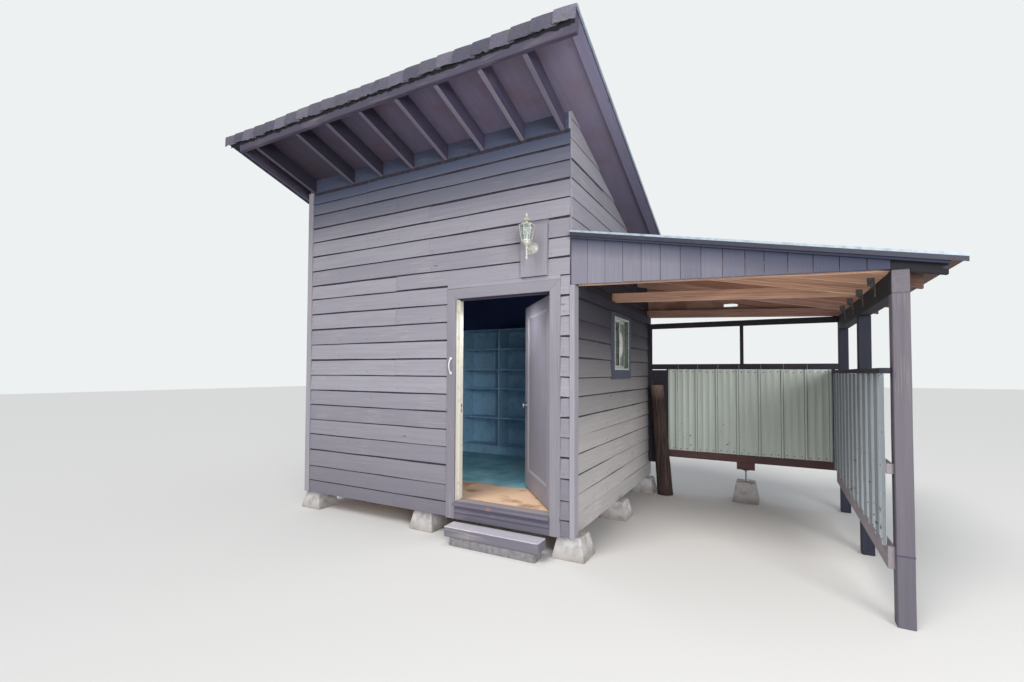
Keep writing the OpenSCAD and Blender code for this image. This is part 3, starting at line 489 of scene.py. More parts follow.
# Wall lining: boards inside the frame in a deep blue that stands for the dark room inside, a painted shade
lining_painted_shade = stained_wood("deep_blue_lining_shade", "#5b6ea6", "#6d7daa", "#44568c", 0.2)
front_core = []
for x0, x1, z0 in ((shed_left, jamb_back_left, wall_foot), (jamb_back_right, 0.0, wall_foot),
                   (jamb_back_left, jamb_back_right, jamb_back_head)):
    core = plank((x0, 0.0, z0), (x1, room_front, eave), along=(1, 0, 0))
    front_core.append(finish_where(core, 3, lambda way, middle: way.y > 0.6))
join("front_wall_boards", front_core + front_rows, [mauve_siding, nail_steel, lap_painted_shadow, lining_painted_shade],
     replaces=["front_wall_left", "front_wall_right", "front_wall_over_door"])
roof_at = lambda y: eave + 0.1469 - pitch * y
boards_stop = lambda y: eave + 0.143 - pitch * y


def under_roof(solids):
    """Cuts what stands above the roof deck's underside, which falls to the back."""
    kept = []
    for solid in solids:
        above = [p.z > boards_stop(p.y) for p in solid["points"]]
        if not any(above):
            kept.append(solid)
        if not any(above) or all(above):
            continue
        whole = bmesh.new()
        verts = [whole.verts.new(p) for p in solid["points"]]
        for f in solid["faces"]:
            whole.faces.new([verts[i] for i in f])
        everything = list(whole.verts) + list(whole.edges) + list(whole.faces)
        bmesh.ops.bisect_plane(whole, geom=everything, plane_co=(0, 0, boards_stop(0)),
                               plane_no=(0, pitch, 1), clear_outer=True)
        bmesh.ops.contextual_create(whole, geom=[e for e in whole.edges if e.is_boundary])
        outward(whole)
        kept.append(in_slot(worked(whole, (0, 1, 0), tone=solid["tone"]), solid["slot"]))
    return kept


def band(start, end, foot, head):
    """An outline from start to end between two lines, each of them a height or a function that gives one."""
    low, high = [line if callable(line) else (lambda at, height=line: height) for line in (foot, head)]
    return [(start, low(start)), (end, low(end)), (end, high(end)), (start, high(start))]


side_edges = [wall_foot + h for h in (0.0, 0.164, 0.316, 0.472, 0.640, 0.788, 0.950, 1.113, 1.268, 1.435,
                                      1.593, 1.747, 1.925, 2.085, 2.245, 2.405, 2.565, 2.725, 2.885, 3.045,
                                      3.205, 3.365)]
side_top = 3.7
win_y0, win_y1, win_z0, win_z1 = 1.140, 1.670, 1.515, 2.060
case_wide = 0.092
case_y0, case_y1, case_z0, case_z1 = win_y0 - case_wide, win_y1 + case_wide, win_z0 - case_wide, 2.101


def right_spans(low, high):
    """The right wall's rows start behind the shelter's corner post and stop at the window casing."""
    first = 0.07 if high < 2.2 else 0.0
    if case_z0 + 0.02 < (low + high) / 2 < case_z1:
        return [(first, case_y0), (case_y1, shed_deep)]
    return [(first, shed_deep)]


right_rows = courses(side_edges, side_top, right_spans) + nail_rows(side_edges, side_top, right_spans)
right_parts = [band(room_front, win_y0, wall_foot, roof_at), band(win_y1, room_rear, wall_foot, roof_at),
               band(win_y0, win_y1, wall_foot, win_z0), band(win_y0, win_y1, win_z1, roof_at)]
end_parts = [band(0.0, room_front, eave, roof_at), band(room_rear, shed_deep, rear_plate, roof_at)]
sheath = 0.018
right_core = [cut(o, "x", room_right, 0.0, (0, 1, 0)) for o in right_parts]
right_core += [cut(o, "x", -sheath, 0.0, (0, 1, 0)) for o in end_parts]
for board in right_core:
    finish_where(board, 4, lambda way, middle: way.x < -0.6)
right_rows = under_roof(face_wall(right_rows, (0, 0, 0), 90))
for row in right_rows:
    # Boards low on the right wall, under the shelter's roof, take its painted light and shade
    if row["slot"] == 0 and max(p.z for p in row["points"]) < 2.63:
        row["slots"] = [k or 3 for k in row["slots"] or [0] * len(row["faces"])]
join("right_wall_boards", right_core + right_rows,
     [gable_siding, nail_steel, lap_painted_shadow, shelter_painted_shade_siding, lining_painted_shade],
     replaces=["right_wall"])

left_spans = lambda low, high: [(-shed_deep, 0.0)]
left_rows = courses(side_edges, side_top, left_spans) + nail_rows(side_edges, side_top, left_spans)
left_rows = under_roof(face_wall(left_rows, (shed_left, 0, 0), -90))
left_core = [cut(band(room_front, room_rear, wall_foot, roof_at), "x", shed_left, room_left, (0, 1, 0))]
left_core += [cut(o, "x", shed_left, shed_left + sheath, (0, 1, 0)) for o in end_parts]
for board in left_core:
    finish_where(board, 3, lambda way, middle: way.x > 0.6)
join("left_wall_boards", left_core + left_rows, [gable_siding, nail_steel, lap_painted_shadow, lining_painted_shade],
     replaces=["left_wall"])

back_spans = lambda low, high: [(0.055, 3.045)]
back_edges, back_top = [h for h in side_edges if h < 2.5], 2.50
back_rows = courses(back_edges, back_top, back_spans, joint_rows=(3, 7, 11))
back_rows += nail_rows(back_edges, back_top, back_spans)
back_rows = face_wall(back_rows, (0, shed_deep, 0), 180)
back_core = plank((shed_left, room_rear, wall_foot), (0.0, shed_deep, rear_plate), along=(1, 0, 0))
finish_where(back_core, 3, lambda way, middle: way.y < -0.6)
join("back_wall_boards", [back_core] + back_rows, [gable_siding, nail_steel, lap_painted_shadow, lining_painted_shade],
     replaces=["back_wall"])

# Corner boards
# A narrow square-edged board nailed over the siding's ends at each corner, and at the right front corner
# the post that the shelter's front stands against. They stand a little proud of the siding.
mauve_trim = stained_wood("mauve_stained_trim", "#9d9aa1", "#afa5a5", "#898690", 0.5)
corner_boards = []
corner_left, corner_thick, rear_corner_top = -3.112, 0.022, 2.562
crooked = {"bits": 0.6, "wander": 0.0012}
for x0, x1, y0, y1, head, shape in (
        (corner_left, wall_end, -corner_thick, 0.0, eave, crooked),
        (0.0, 0.042, -corner_thick, 0.07, 2.188, crooked),
        (corner_left, wall_end, shed_deep, shed_deep + corner_thick, rear_corner_top, {}),
        (-0.055, 0.012, shed_deep, shed_deep + corner_thick, rear_corner_top, {})):
    corner_boards.append(plank((x0, y0, wall_foot), (x1, y1, head), **shape))
join("corner_boards_sawn", corner_boards, mauve_trim, replaces=["corner_trim"])

# Roof framing
# Sawn rafters, notched over the level plates and cut plumb at both ends, with blocks between on the plates.
# They are stained nearly black-brown; their lower arrises have rubbed pale where the saw left them sharp.
# Painted light and shade: the front undersides take a paler copy of the stain, and both finishes darken
# towards the left
dusky_stain = stained_wood("dusky_stained_timber", "#48415a", "#85798a", "#302a40", 0.35, edge_wear=0.6,
                           marks=[("#171523", 0.82, (-1, 0, 0), 0.6, 2.2)])
underside_painted_light = stained_wood("rafter_underside_painted_light", "#77707f", "#968990", "#5c5668", 0.55,
                                marks=[("#332e40", 0.7, (-1, 0, 0), 0.9, 2.8)])
deck_foot = lambda y: eave + 0.1472 - pitch * y
rafter_foot = lambda y: eave - pitch * y
rafter_front, rafter_rear = -0.69, 3.01
rafter_places = [-0.07] + [-0.44 - 0.402 * i for i in range(6)] + [-3.04]
rafter_line = [(rafter_front, rafter_foot(rafter_front)), (0.0, eave), (room_front, eave),
               (room_front, rafter_foot(room_front)), (room_rear, rear_plate), (shed_deep, rear_plate),
               (shed_deep, rafter_foot(shed_deep)), (rafter_rear, rafter_foot(rafter_rear)),
               (rafter_rear, deck_foot(rafter_rear)), (rafter_front, deck_foot(rafter_front))]
rafters = []
for x in rafter_places:
    rafter = cut(rafter_line, "x", x - two_by / 2, x + two_by / 2, (0, 1, -pitch), arris=0.004, bits=0.4,
                 wander=0.0015)
    rafters.append(finish_where(rafter, 1, lambda way, middle: way.z < -0.5 and middle.y < 0))
join("rafters_notched", rafters, [dusky_stain, underside_painted_light],
     replaces=["roof_rafters"])

blocking = []
stops = [0.001] + rafter_places + [-3.101]
for right_x, left_x in zip(stops, stops[1:]):
    for y, foot in ((0.0, eave), (2.712, rear_plate)):
        if right_x - left_x > 0.045:
            blocking.append(cut(band(y, y + two_by, foot, deck_foot), "x", left_x + two_by / 2,
                                right_x - two_by / 2, (1, 0, 0)))
# Eave blocks: a dark blue-grey, the painted shade of the siding under the eaves
eave_shade = stained_wood("eave_block_painted_shade", "#4c5268", "#6a6c78", "#3b4156", 0.4)
join("eave_blocks_sawn", blocking, eave_shade, replaces=["eave_blocks"])

# Roof deck
# Sheets of plywood 1.22 m wide nailed on the rafters. Their undersides are stained purplish brown like the
# timber, and knots and patches show through. The right verge runs out past the wall with no rafter under it.
soffit_ply = new_finish("stained_plywood_soffit")
grain, place = readings(soffit_ply)[::3]
figure = pattern(soffit_ply, grain, (0.5, 0.045, 0.045), Detail=6.0, Distortion=1.5)
blotch = pattern(soffit_ply, place, 0.22, Detail=6.0)
knots = pattern(soffit_ply, place, 0.30, "TexVoronoi", Randomness=1.0)
sheet = add(soffit_ply, "MixRGB", {"Fac": figure, "Color1": "#5c556c", "Color2": "#736b84"})
sheet = tinted(soffit_ply, sheet, blotch, 0.45, 0.7, "#68505a", 0.75)
sheet = tinted(soffit_ply, sheet, knots, 0.045, 0.085, "#4a3a44", 0.0, 0.55)
# Painted light and shade: paler towards the right verge, much darker towards the left
sheet = shade_over(soffit_ply, place, sheet, [("#8b8496", 0.3, (1, 0, 0), -0.6, 0.15),
                                              ("#2b2230", 0.9, (-1, 0, 0), 0.8, 3.0)])
dress(soffit_ply, sheet, 0.8, figure, 0.2, 0.002)
deck_thick = 0.013
roof_base = lambda y: deck_foot(y) + deck_thick / math.cos(roof_turn)
verge_left, verge_right, roof_front, roof_rear = -3.48, 0.335, -0.736, 3.035
sheets = []
sheet_edges = [verge_left, -2.86, -1.64, -0.42, verge_right]
for x0, x1 in zip(sheet_edges, sheet_edges[1:]):
    for y0, y1 in ((roof_front, 1.12 - 0.003), (1.12, roof_rear)):
        sheets.append(cut(band(y0, y1, deck_foot, roof_base), "x", x0, x1 - (0.003 if x1 < 0 else 0.0),
                          (0, 1, -pitch), arris=0.001))
join("deck_sheets_plywood", sheets, soffit_ply, replaces=["roof_deck"])

# Fascias and verge boards
# A sawn board across the rafters' upper and lower ends, a fly rafter at the left and a flat board under the
# right verge. They carry the same dark stain; the front one has faded to a pinkish brown along its face.
fascia_stain = stained_wood("faded_fascia_stain", "#494355", "#8c7f89", "#353042", 0.5, edge_wear=0.8)


def raised(line, by):
    """A line at a height over another, or under it."""
    return lambda at: line(at) + by


under_deck = raised(deck_foot, -0.0003)
fascia_left, fascia_right, fascia_face = -3.26, 0.33, -0.728
fascias = [plank((fascia_left, fascia_face, rafter_foot(rafter_front)),
                 (fascia_right, rafter_front, under_deck(rafter_front)),
                 arris=0.004, bits=0.3, wander=0.003),
           plank((fascia_left, rafter_rear, rafter_foot(rafter_rear)),
                 (fascia_right, 3.029, under_deck(3.029)), bits=0.4),
           cut(band(rafter_front, rafter_rear, rafter_foot, under_deck), "x", fascia_left,
               fascia_left + two_by, (0, 1, -pitch), arris=0.003, bits=0.4, wander=0.0015),
           in_slot(cut(band(rafter_front, rafter_rear, raised(deck_foot, -0.02), under_deck), "x", 0.24,
                       fascia_right, (0, 1, -pitch), arris=0.002, bits=0.5), 1)]
# The flat board under the right verge takes a paler copy of the stain: painted light
verge_painted_light = stained_wood("verge_board_painted_light", "#858199", "#938da1", "#726d86", 0.4)
join("fascia_boards_sawn", fascias, [fascia_stain, verge_painted_light],
     replaces=["roof_fascias"])

# Shingles
# Asphalt shingles, three tabs to the strip, laid from the low edge up with each course covering the last.
# Grey-green mineral granules on felt; they fade unevenly, and moss starts in patches.


def granule_finish(name, one, two, mossy):
    """Mineral granules on felt: each tab has its tone, the grains speckle it, and moss starts in patches."""
    finish = new_finish(name)
    tone, place = readings(finish)[1::2]
    granules = pattern(finish, place, 0.006, "TexVoronoi")
    fading = pattern(finish, place, 0.09, Detail=7.0)
    tabs = add(finish, "MixRGB", {"Fac": tone, "Color1": one, "Color2": two})
    mineral = add(finish, "MixRGB", {"Fac": 0.35, "Color1": tabs, "Color2": granules.outputs["Color"]},
                  blend_type="SOFT_LIGHT")
    return dress(finish, tinted(finish, mineral, fading, 0.52, 0.72, mossy, 0.55), 0.92, granules, 0.5,
                 0.0015)


asphalt_shingle = granule_finish("asphalt_shingle", "#6f7379", "#8b9089", "#6c6f55")
tab_wide, tab_gap, tab_shows, tab_thick = 0.305, 0.007, 0.143, 0.0032
tab_bed = 0.0016
felt_thick = 0.002


def shingle_roof(left, right, top, foot, surface, axis="x", across=(0, 1, 0)):
    """Courses of tabs between two edges; surface gives the height of the deck, and foot is the low edge."""
    tabs = []
    slope = abs(surface(foot) - surface(top)) / abs(foot - top)
    way = 1 if foot > top else -1
    run = tab_shows / math.sqrt(1 + slope * slope)
    for row in range(int(abs(foot - top) / run) + 1):
        low = foot - way * row * run
        high = low - way * min(run * 1.12, abs(low - top))
        if abs(low - top) < 0.02:
            continue
        x = left - (tab_wide / 2 if row % 2 else 0.0)
        while x < right:
            a, b = max(x, left), min(x + tab_wide - tab_gap, right)
            x += tab_wide
            if b - a < 0.02:
                continue
            lift = 0.0058 + chance.uniform(0.0, 0.0014)
            edge = low + (chance.uniform(-0.002, 0.002) if row else 0.0)
            under = surface(high) + tab_bed
            outline = [(edge, surface(edge) + tab_bed), (high, under), (high, under + tab_thick * 0.6),
                       (edge, surface(edge) + lift + tab_thick)]
            tabs.append(cut(outline, axis, a, b, across, arris=0.0))
    return tabs


felt = cut(band(roof_front, roof_rear, roof_base, raised(roof_base, felt_thick)), "x", verge_left,
           verge_right, (0, 1, 0), arris=0.0)
main_tabs = shingle_roof(verge_left, verge_right, -0.73, roof_rear, roof_base)
join("shingle_courses", [felt] + main_tabs, asphalt_shingle, replaces=["roof_shingles"])

# Shingle caps
# Single tabs bent over the high front edge side by side, each lapping the next by a few centimetres.
# They have sagged and curled: their lower edges are ragged, and torn felt hangs out behind them.
cap_stain = granule_finish("weathered_cap_shingle", "#4a4957", "#6a6773", "#42414d")
cap_count = 24
cap_wide = (verge_right - verge_left) / cap_count
cap_steps = 8
cap_front, cap_top, cap_side = -0.7475, 3.8915, 0.0025


def wave(x, y=0.0, z=0.0):
    """A smooth random value, about -1 to 1, that belongs to a place."""
    return noise.noise(Vector((x, y, z)))


def skin_between(mesh, rows, closed=False):
    """Faces between rows of points; closed rows join up into a tube."""
    for one, two in zip(rows, rows[1:]):
        for k in range(len(one) if closed else len(one) - 1):
            n = (k + 1) % len(one)
            mesh.faces.new((one[k], one[n], two[n], two[k]))


caps = []
for i in range(cap_count):
    left = verge_left + i * cap_wide
    right = min(left + cap_wide * 1.3, verge_right)
    bent = bmesh.new()
    droop = chance.uniform(-0.006, 0.005)
    flare = chance.uniform(0.0, 0.006)
    skew = chance.uniform(-0.040, -0.012)
    curl = chance.uniform(0.008, 0.0125)
    tear = chance.uniform(0, 30)
    columns = []
    for j in range(cap_steps + 1):
        share = j / cap_steps
        x = left + (right - left) * share
        lift = curl * (1 - share) ** 1.6 + 0.0035 * math.sin(math.pi * share)
        sag = 0.0035 * math.sin(x * 5.1) + 0.0025 * math.sin(x * 2.3 + 1)
        ragged = 0.016 * wave(x * 29, tear) + droop
        crest = roof_base(roof_front) + 0.012 + lift * 0.45 + sag
        face = -0.7335 - lift
        # Each point down the cap: how far it is pulled along by the skew, then its depth and height
        column = [(0.0, -0.60, roof_base(-0.60) + 0.011 + lift * 0.4),
                  (0.0, -0.66, roof_base(-0.66) + 0.0125 + lift * 0.4),
                  (0.1, -0.714, crest + 0.002), (0.2, face + 0.007, crest - 0.003),
                  (0.35, face + 0.001, crest - 0.016), (0.7, face + 0.0015, crest - 0.055),
                  (1.0, face + 0.004 - flare, crest - 0.102 + ragged)]
        columns.append([bent.verts.new((min(max(x + skew * s, verge_left), verge_right), y, z))
                        for s, y, z in column])
    skin_between(bent, columns)
    outward(bent, 0.0042)
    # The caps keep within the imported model's box
    for v in bent.verts:
        v.co.x = min(max(v.co.x, verge_left - cap_side), verge_right + cap_side)
        v.co.y = max(v.co.y, cap_front)
        v.co.z = min(v.co.z, cap_top)
    caps.append(worked(bent, (0, 1, 0)))
join("shingle_caps_bent", caps, cap_stain, replaces=["shingle_caps"], smooth=True)

# Torn roofing felt, bitumen black, matt where the weather has dulled it
# It hangs low, so that its black also stands for the caps' shadow on the fascia: a painted shadow
felt_and_painted_shadow = blotched("roofing_felt_painted_shadow", "#0c0d13", "#1c1d26", 0.03, 0.8)
strip = bmesh.new()
rows = []
fascia_head = deck_foot(fascia_face)
felt_left, felt_long, felt_steps = -3.40, 3.72, 190
for i in range(felt_steps + 1):
    x = felt_left + felt_long * i / felt_steps
    torn = 0.020 * wave(x * 13, 2) + 0.012 * wave(x * 61, 5)
    out = -0.7285 + 0.003 * wave(x * 31, 8)
    rows.append([strip.verts.new((x, -0.7292, fascia_head - 0.002)),
                 strip.verts.new((x, out - 0.003, fascia_head - 0.097 + torn))])
skin_between(strip, rows)
bmesh.ops.solidify(strip, geom=list(strip.faces), thickness=0.0015)
join("torn_felt_and_painted_shadow", [worked(strip, (1, 0, 0))], felt_and_painted_shadow)

# Drip edges
# Folded steel edging, painted white and chalky, nailed along both verges and the shelter's front edge.
white_edging = blotched("white_painted_steel_edging", "#9fabb6", "#76828e", 0.05, 0.42, edge=(0.45, 0.75),
                        stretch=4.0)
# Painted shade: the edging's lower strips take darker copies of the white, grey-blue on the verges and
# near-black on the shelter's front edge
shaded_flange = blotched("shaded_steel_flange", "#74808f", "#566171", 0.05, 0.5, stretch=4.0)
flange_painted_shade = blotched("painted_shade_flange", "#1b1d2c", "#292b3b", 0.05, 0.6, stretch=4.0)
edging_top = raised(roof_base, 0.009)
folded = []
for x in (verge_left - 0.0015, verge_right + 0.0015):
    for y0, y1 in ((roof_front, 1.2), (1.19, roof_rear)):
        for up, down, half, painted in ((0.0, 0.014, 0.0007, 0), (0.014, 0.042, 0.0007, 1),
                                        (0.041, 0.046, 0.0015, 1)):
            face = band(y0, y1, raised(edging_top, -down), raised(edging_top, -up))
            folded.append(in_slot(cut(face, "x", x - half, x + half, (0, 1, 0), arris=0.0), painted))
lean_turn = math.radians(11)
lean_slope = math.tan(lean_turn)
lean_wall, post_in, post_out, lean_edge = 0.012, 2.050, 2.139, 2.389
post_wide, beam_top = 0.089, 2.110
lean_foot = lambda x: beam_top + lean_slope * (post_in - x)
lean_top = raised(lean_foot, post_wide / math.cos(lean_turn))
lean_crest = raised(lean_top, 0.025 / math.cos(lean_turn))
fold = raised(lean_crest, -0.016)
folded.append(cut(band(lean_wall, lean_edge, fold, lean_crest), "y", -0.0518, -0.0496, (1, 0, 0),
                  arris=0.0004))
folded.append(in_slot(cut(band(lean_wall, lean_edge, raised(lean_crest, -0.0455), fold), "y", -0.0505,
                          -0.0492, (1, 0, 0), arris=0.0), 2))
join("drip_edges_folded", folded, [white_edging, shaded_flange, flange_painted_shade],
     replaces=["drip_edges"])

# Door frame and sill
# Planed jamb boards with stops, painted cream; the strike is let into the left jamb. The sill is a dark
# stained timber on a riser board, and its rounded nosing is worn to the wood where people step.
cream_paint = blotched("cream_painted_jamb", "#dcd8cb", "#bfb5a2", 0.05, 0.5, edge=(0.55, 0.85), detail=6.0)
jamb_left, jamb_right, jamb_head = -1.110, -0.175, 2.152
stop_left, stop_right, stop_head, stop_y0, stop_y1 = -1.098, -0.187, 2.140, 0.035, 0.063
sill_top, case_foot, sill_foot = 0.327, 0.17, 0.293
jambs = [plank((jamb_back_left, 0.0, wall_foot), (jamb_left, room_front, jamb_back_head)),
         plank((jamb_right, 0.0, wall_foot), (jamb_back_right, room_front, jamb_back_head)),
         plank((jamb_left, stop_y0, sill_top), (stop_left, stop_y1, jamb_head)),
         plank((stop_right, stop_y0, sill_top), (jamb_right, stop_y1, jamb_head))]
join("door_jambs_planed", jambs, cream_paint, replaces=["door_frame"])
head_jamb = [plank((jamb_left, 0.0, jamb_head), (jamb_right, room_front, jamb_back_head)),
             plank((stop_left, stop_y0, stop_head), (stop_right, stop_y1, jamb_head))]
join("door_head_jamb", head_jamb, dusky_stain)

# The sill's top is paler than its faces, a painted light; the red-brown spots are worn wood
sill_stain = stained_wood("worn_sill_stain", "#676371", "#837a85", "#514e5c", 0.5, edge_wear=0.6,
                          marks=[("#b5a8a2", 0.5, (0, 0, 1), 0.3235, 0.3262),
                                 ("#9c6a5c", 0.6, (-0.74, -0.046, 0.304), 0.036, 0.008),
                                 ("#9c6a5c", 0.35, (-0.70, -0.030, 0.262), 0.022, 0.006)])
sill_outline = [(-0.048, sill_foot), (room_front, sill_foot), (room_front, sill_top), (0.020, sill_top),
                (-0.032, 0.319), (-0.044, 0.315), (-0.048, 0.308)]
sill_parts = [cut(sill_outline, "x", jamb_left, jamb_right, (1, 0, 0), arris=0.003, bits=0.08,
                  wander=0.0018),
              plank((jamb_left, -0.018, case_foot), (jamb_right, 0.012, sill_foot), bits=0.3, wander=0.001),
              plank((jamb_left, 0.012, wall_foot), (jamb_right, room_front, sill_foot)),
              plank((jamb_left, -0.030, 0.232), (jamb_right, -0.018, 0.262), arris=0.004)]
join("sill_and_riser", sill_parts, sill_stain)

# Strike plate and screws, steel with a thin zinc coat that has dulled
dull_steel = blotched("dull_zinc_steel", "#8f9399", "#c5c6c6", 0.012, 0.3, 0.6, metal=1.0, detail=3.0)


def stand(mesh, centre, way, ahead=0.0):
    """Turns a form that was built along Z to point along a way, and moves it ahead of a centre."""
    way = Vector(way)
    turn = Vector((0, 0, 1)).rotation_difference(way).to_matrix().to_4x4()
    mesh.transform(Matrix.Translation(Vector(centre) + way.normalized() * ahead) @ turn)


def round_bar(centre, way, radius, length, sides=16, arris=0.0006):
    """A round head or pin, its near face at the centre given."""
    bar = bmesh.new()
    bmesh.ops.create_cone(bar, cap_ends=True, segments=sides, radius1=radius, radius2=radius, depth=length)
    if arris:
        rims = [e for e in bar.edges if abs(e.verts[0].co.z - e.verts[1].co.z) < 1e-6]
        bmesh.ops.bevel(bar, geom=rims, offset=arris, segments=1, affect="EDGES")
    stand(bar, centre, way, length / 2)
    return worked(bar, way)


def screw_head(centre, way, radius=0.004):
    """A countersunk head, its slot drawn as a shallow dish."""
    tall = 0.0018
    head = bmesh.new()
    bmesh.ops.create_cone(head, cap_ends=True, segments=12, radius1=radius, radius2=radius * 0.82, depth=tall)
    top = [f for f in head.faces if f.normal.z > 0.9]
    bmesh.ops.inset_region(head, faces=top, thickness=radius * 0.45, depth=-0.0006)
    stand(head, centre, way, tall / 2)
    return worked(head, way)


knob_x, knob_z = -1.045, 1.155
strike = [plank((-1.1101, y0, knob_z + z0), (-1.1088, y1, knob_z + z1), arris=0.0004)
          for y0, y1, z0, z1 in ((0.070, 0.096, -0.035, -0.014), (0.070, 0.096, 0.014, 0.035),
                                 (0.070, 0.076, -0.014, 0.014), (0.090, 0.096, -0.014, 0.014))]
strike += [screw_head((-1.1088, 0.083, knob_z + h), (1, 0, 0)) for h in (-0.025, 0.025)]
join("strike_plate", strike, dull_steel)

# Casing
# Flat boards round the doorway, mitred at the head, and round the window, where the head board runs up to the
# ledger. A darker coat of the siding's stain; five screws of older handles are left in the left board.
# Painted light: the casing is paler towards its head, and the lantern's board, all above that, is paler
# throughout
casing_stain = stained_wood("door_casing_stain", "#85828a", "#a0979a", "#6f6c75", 0.55,
                            marks=[("#a19ea8", 0.3, (0, 0, 1), 1.5, 2.2)])
casing_out = -0.022
casing = []
for outline, along in (([(casing_left, case_foot), (jamb_left, case_foot), (jamb_left, jamb_head),
                         (casing_left, casing_top)], (0, 0, 1)),
                       ([(jamb_right, case_foot), (casing_right, case_foot), (casing_right, casing_top),
                         (jamb_right, jamb_head)], (0, 0, 1)),
                       ([(jamb_left, jamb_head), (jamb_right, jamb_head), (casing_right, casing_top),
                         (casing_left, casing_top)], (1, 0, 0))):
    casing.append(cut(outline, "y", casing_out, 0.0, along, bits=0.3, wander=0.0008))
join("casing_boards_mitred", casing, casing_stain, replaces=["casing_boards"])
# The window's casing, under the shelter's roof, takes a dark copy of the stain: painted shade
window_case_shade = stained_wood("window_casing_painted_shade", "#4b4e60", "#6a6a74", "#3a3d4f", 0.4)
casing = [plank((0.0, case_y0, case_z0), (0.022, win_y0, case_z1)),
          plank((0.0, win_y1, case_z0), (0.022, case_y1, case_z1)),
          plank((0.0, win_y0, case_z0), (0.022, win_y1, win_z0), along=(0, 1, 0)),
          plank((0.0, win_y0, win_z1), (0.022, win_y1, case_z1), along=(0, 1, 0))]
join("window_casing_boards", casing, window_case_shade)
plugs = [screw_head((x, casing_out, z), (0, -1, 0), 0.0045)
         for x, z in ((-1.154, 1.045), (-1.162, 1.028), (-1.150, 1.012), (-1.158, 0.965), (-1.146, 0.958))]
join("old_screw_heads", plugs, dull_steel)

# Bow handle
# A cast aluminium pull, white enamelled and chipped at its feet, with one screw through each foot.
white_enamel = blotched("white_enamelled_cast_handle", "#e4e5e2", "#8f8b86", 0.012, 0.28, 0.5,
                        edge=(0.62, 0.68), more={"Coat Weight": 0.3})


def swept_tube(path, radii, sides=12, flat=1.0):
    """A closed tube along a path, with one radius or one for each point; flat squeezes it across."""
    radii = radii if isinstance(radii, list) else [radii] * len(path)
    tube = bmesh.new()
    rings = []
    side = None
    for i, point in enumerate(path):
        ahead = Vector(path[min(i + 1, len(path) - 1)]) - Vector(path[max(i - 1, 0)])
        ahead.normalize()
        side = (side - ahead * side.dot(ahead) if side else ahead.orthogonal()).normalized()
        other = ahead.cross(side)
        ring = []
        for k in range(sides):
            turn = 2 * math.pi * k / sides
            off = side * math.cos(turn) * radii[i] + other * math.sin(turn) * radii[i] * flat
            ring.append(tube.verts.new(Vector(point) + off))
        rings.append(ring)
    skin_between(tube, rings, closed=True)
    tube.faces.new(list(reversed(rings[0])))
    tube.faces.new(rings[-1])
    outward(tube)
    return worked(tube)


handle_x, handle_z, handle_half, bow_steps = -1.156, 1.544, 0.066, 24
bow = []
bow_radii = []
for i in range(bow_steps + 1):
    share = i / bow_steps
    bow.append((handle_x, casing_out - 0.002 - 0.0305 * math.sin(math.pi * share) ** 0.75,
                handle_z - handle_half + 2 * handle_half * share))
    bow_radii.append(0.0050 + 0.0022 * abs(2 * i / bow_steps - 1) ** 3)
pull = [swept_tube(bow, bow_radii, flat=0.8)]
for s in (-1, 1):
    pull.append(round_bar((handle_x, casing_out + 0.001, handle_z + s * handle_half), (0, -1, 0), 0.013,
                          0.006, sides=24, arris=0.0016))
    pull.append(screw_head((handle_x, casing_out - 0.005, handle_z + s * (handle_half + 0.0085)),
                           (0, -1, 0), 0.0028))
join("bow_handle_cast", pull, white_enamel, replaces=["pull_handle"], smooth=True)

# Step
# One length of rough timber on the long block: its stain has gone from the front arris, which is splintered.
step_stain = stained_wood("worn_step_stain", "#76727c", "#bdb5b0", "#625e69", 0.45, rough=0.86,
                          edge_wear=0.9)
step_front = -0.200
step = plank((-1.090, step_front, 0.072), (-0.190, -0.050, 0.161), arris=0.006, bits=0.045, wander=0.0018)
# The step's top takes a much paler copy of the stain: painted light
step_painted_light = stained_wood("step_timber_top_painted_light", "#bdbac4", "#e0d9d3", "#a3a0ab", 0.6, rough=0.86, edge_wear=0.8)
finish_where(step, 1, lambda way, middle: way.z > 0.6)
for p in step["points"]:
    if p.y < step_front + 0.015 and p.z > 0.15:
        p.z -= 0.004 * max(0.0, wave(p.x * 14, 0)) + 0.002
        p.y += 0.005 * max(0.0, wave(p.x * 23, 4)) + 0.001
    p.y = max(p.y, step_front)
join("step_timber_worn", [step], [step_stain, step_painted_light], replaces=["door_step"])

# Door
# A framed door: stiles and rails round one long panel, with a planed ovolo moulding on both faces. The stain
# has a slight sheen where hands polish it, and it darkens towards the head, in the room's shade.
door_angle = math.radians(50)
hinge_axis = Vector((-0.1775, 0.117, 0))
turned_open = Matrix.Rotation(-door_angle, 4, "Z")
swing = Matrix.Translation(hinge_axis) @ turned_open @ Matrix.Translation(-hinge_axis)
door_stain = stained_wood("sheened_door_stain", "#9d99a3", "#bab0b0", "#84808b", 0.45, rough=0.52,
                          marks=[("#363c55", 0.5, (0, 0.8, 1), 1.9, 2.75)])
leaf_left, leaf_right, leaf_foot, leaf_head = -1.105, -0.180, 0.335, 2.147
leaf_front, leaf_back = 0.068, 0.108
stile, bottom_rail = 0.110, 0.170


def hang(solids):
    """Stands the closed door's parts at the angle it is drawn open."""
    for solid in solids:
        solid["points"] = [swing @ p for p in solid["points"]]
    return solids


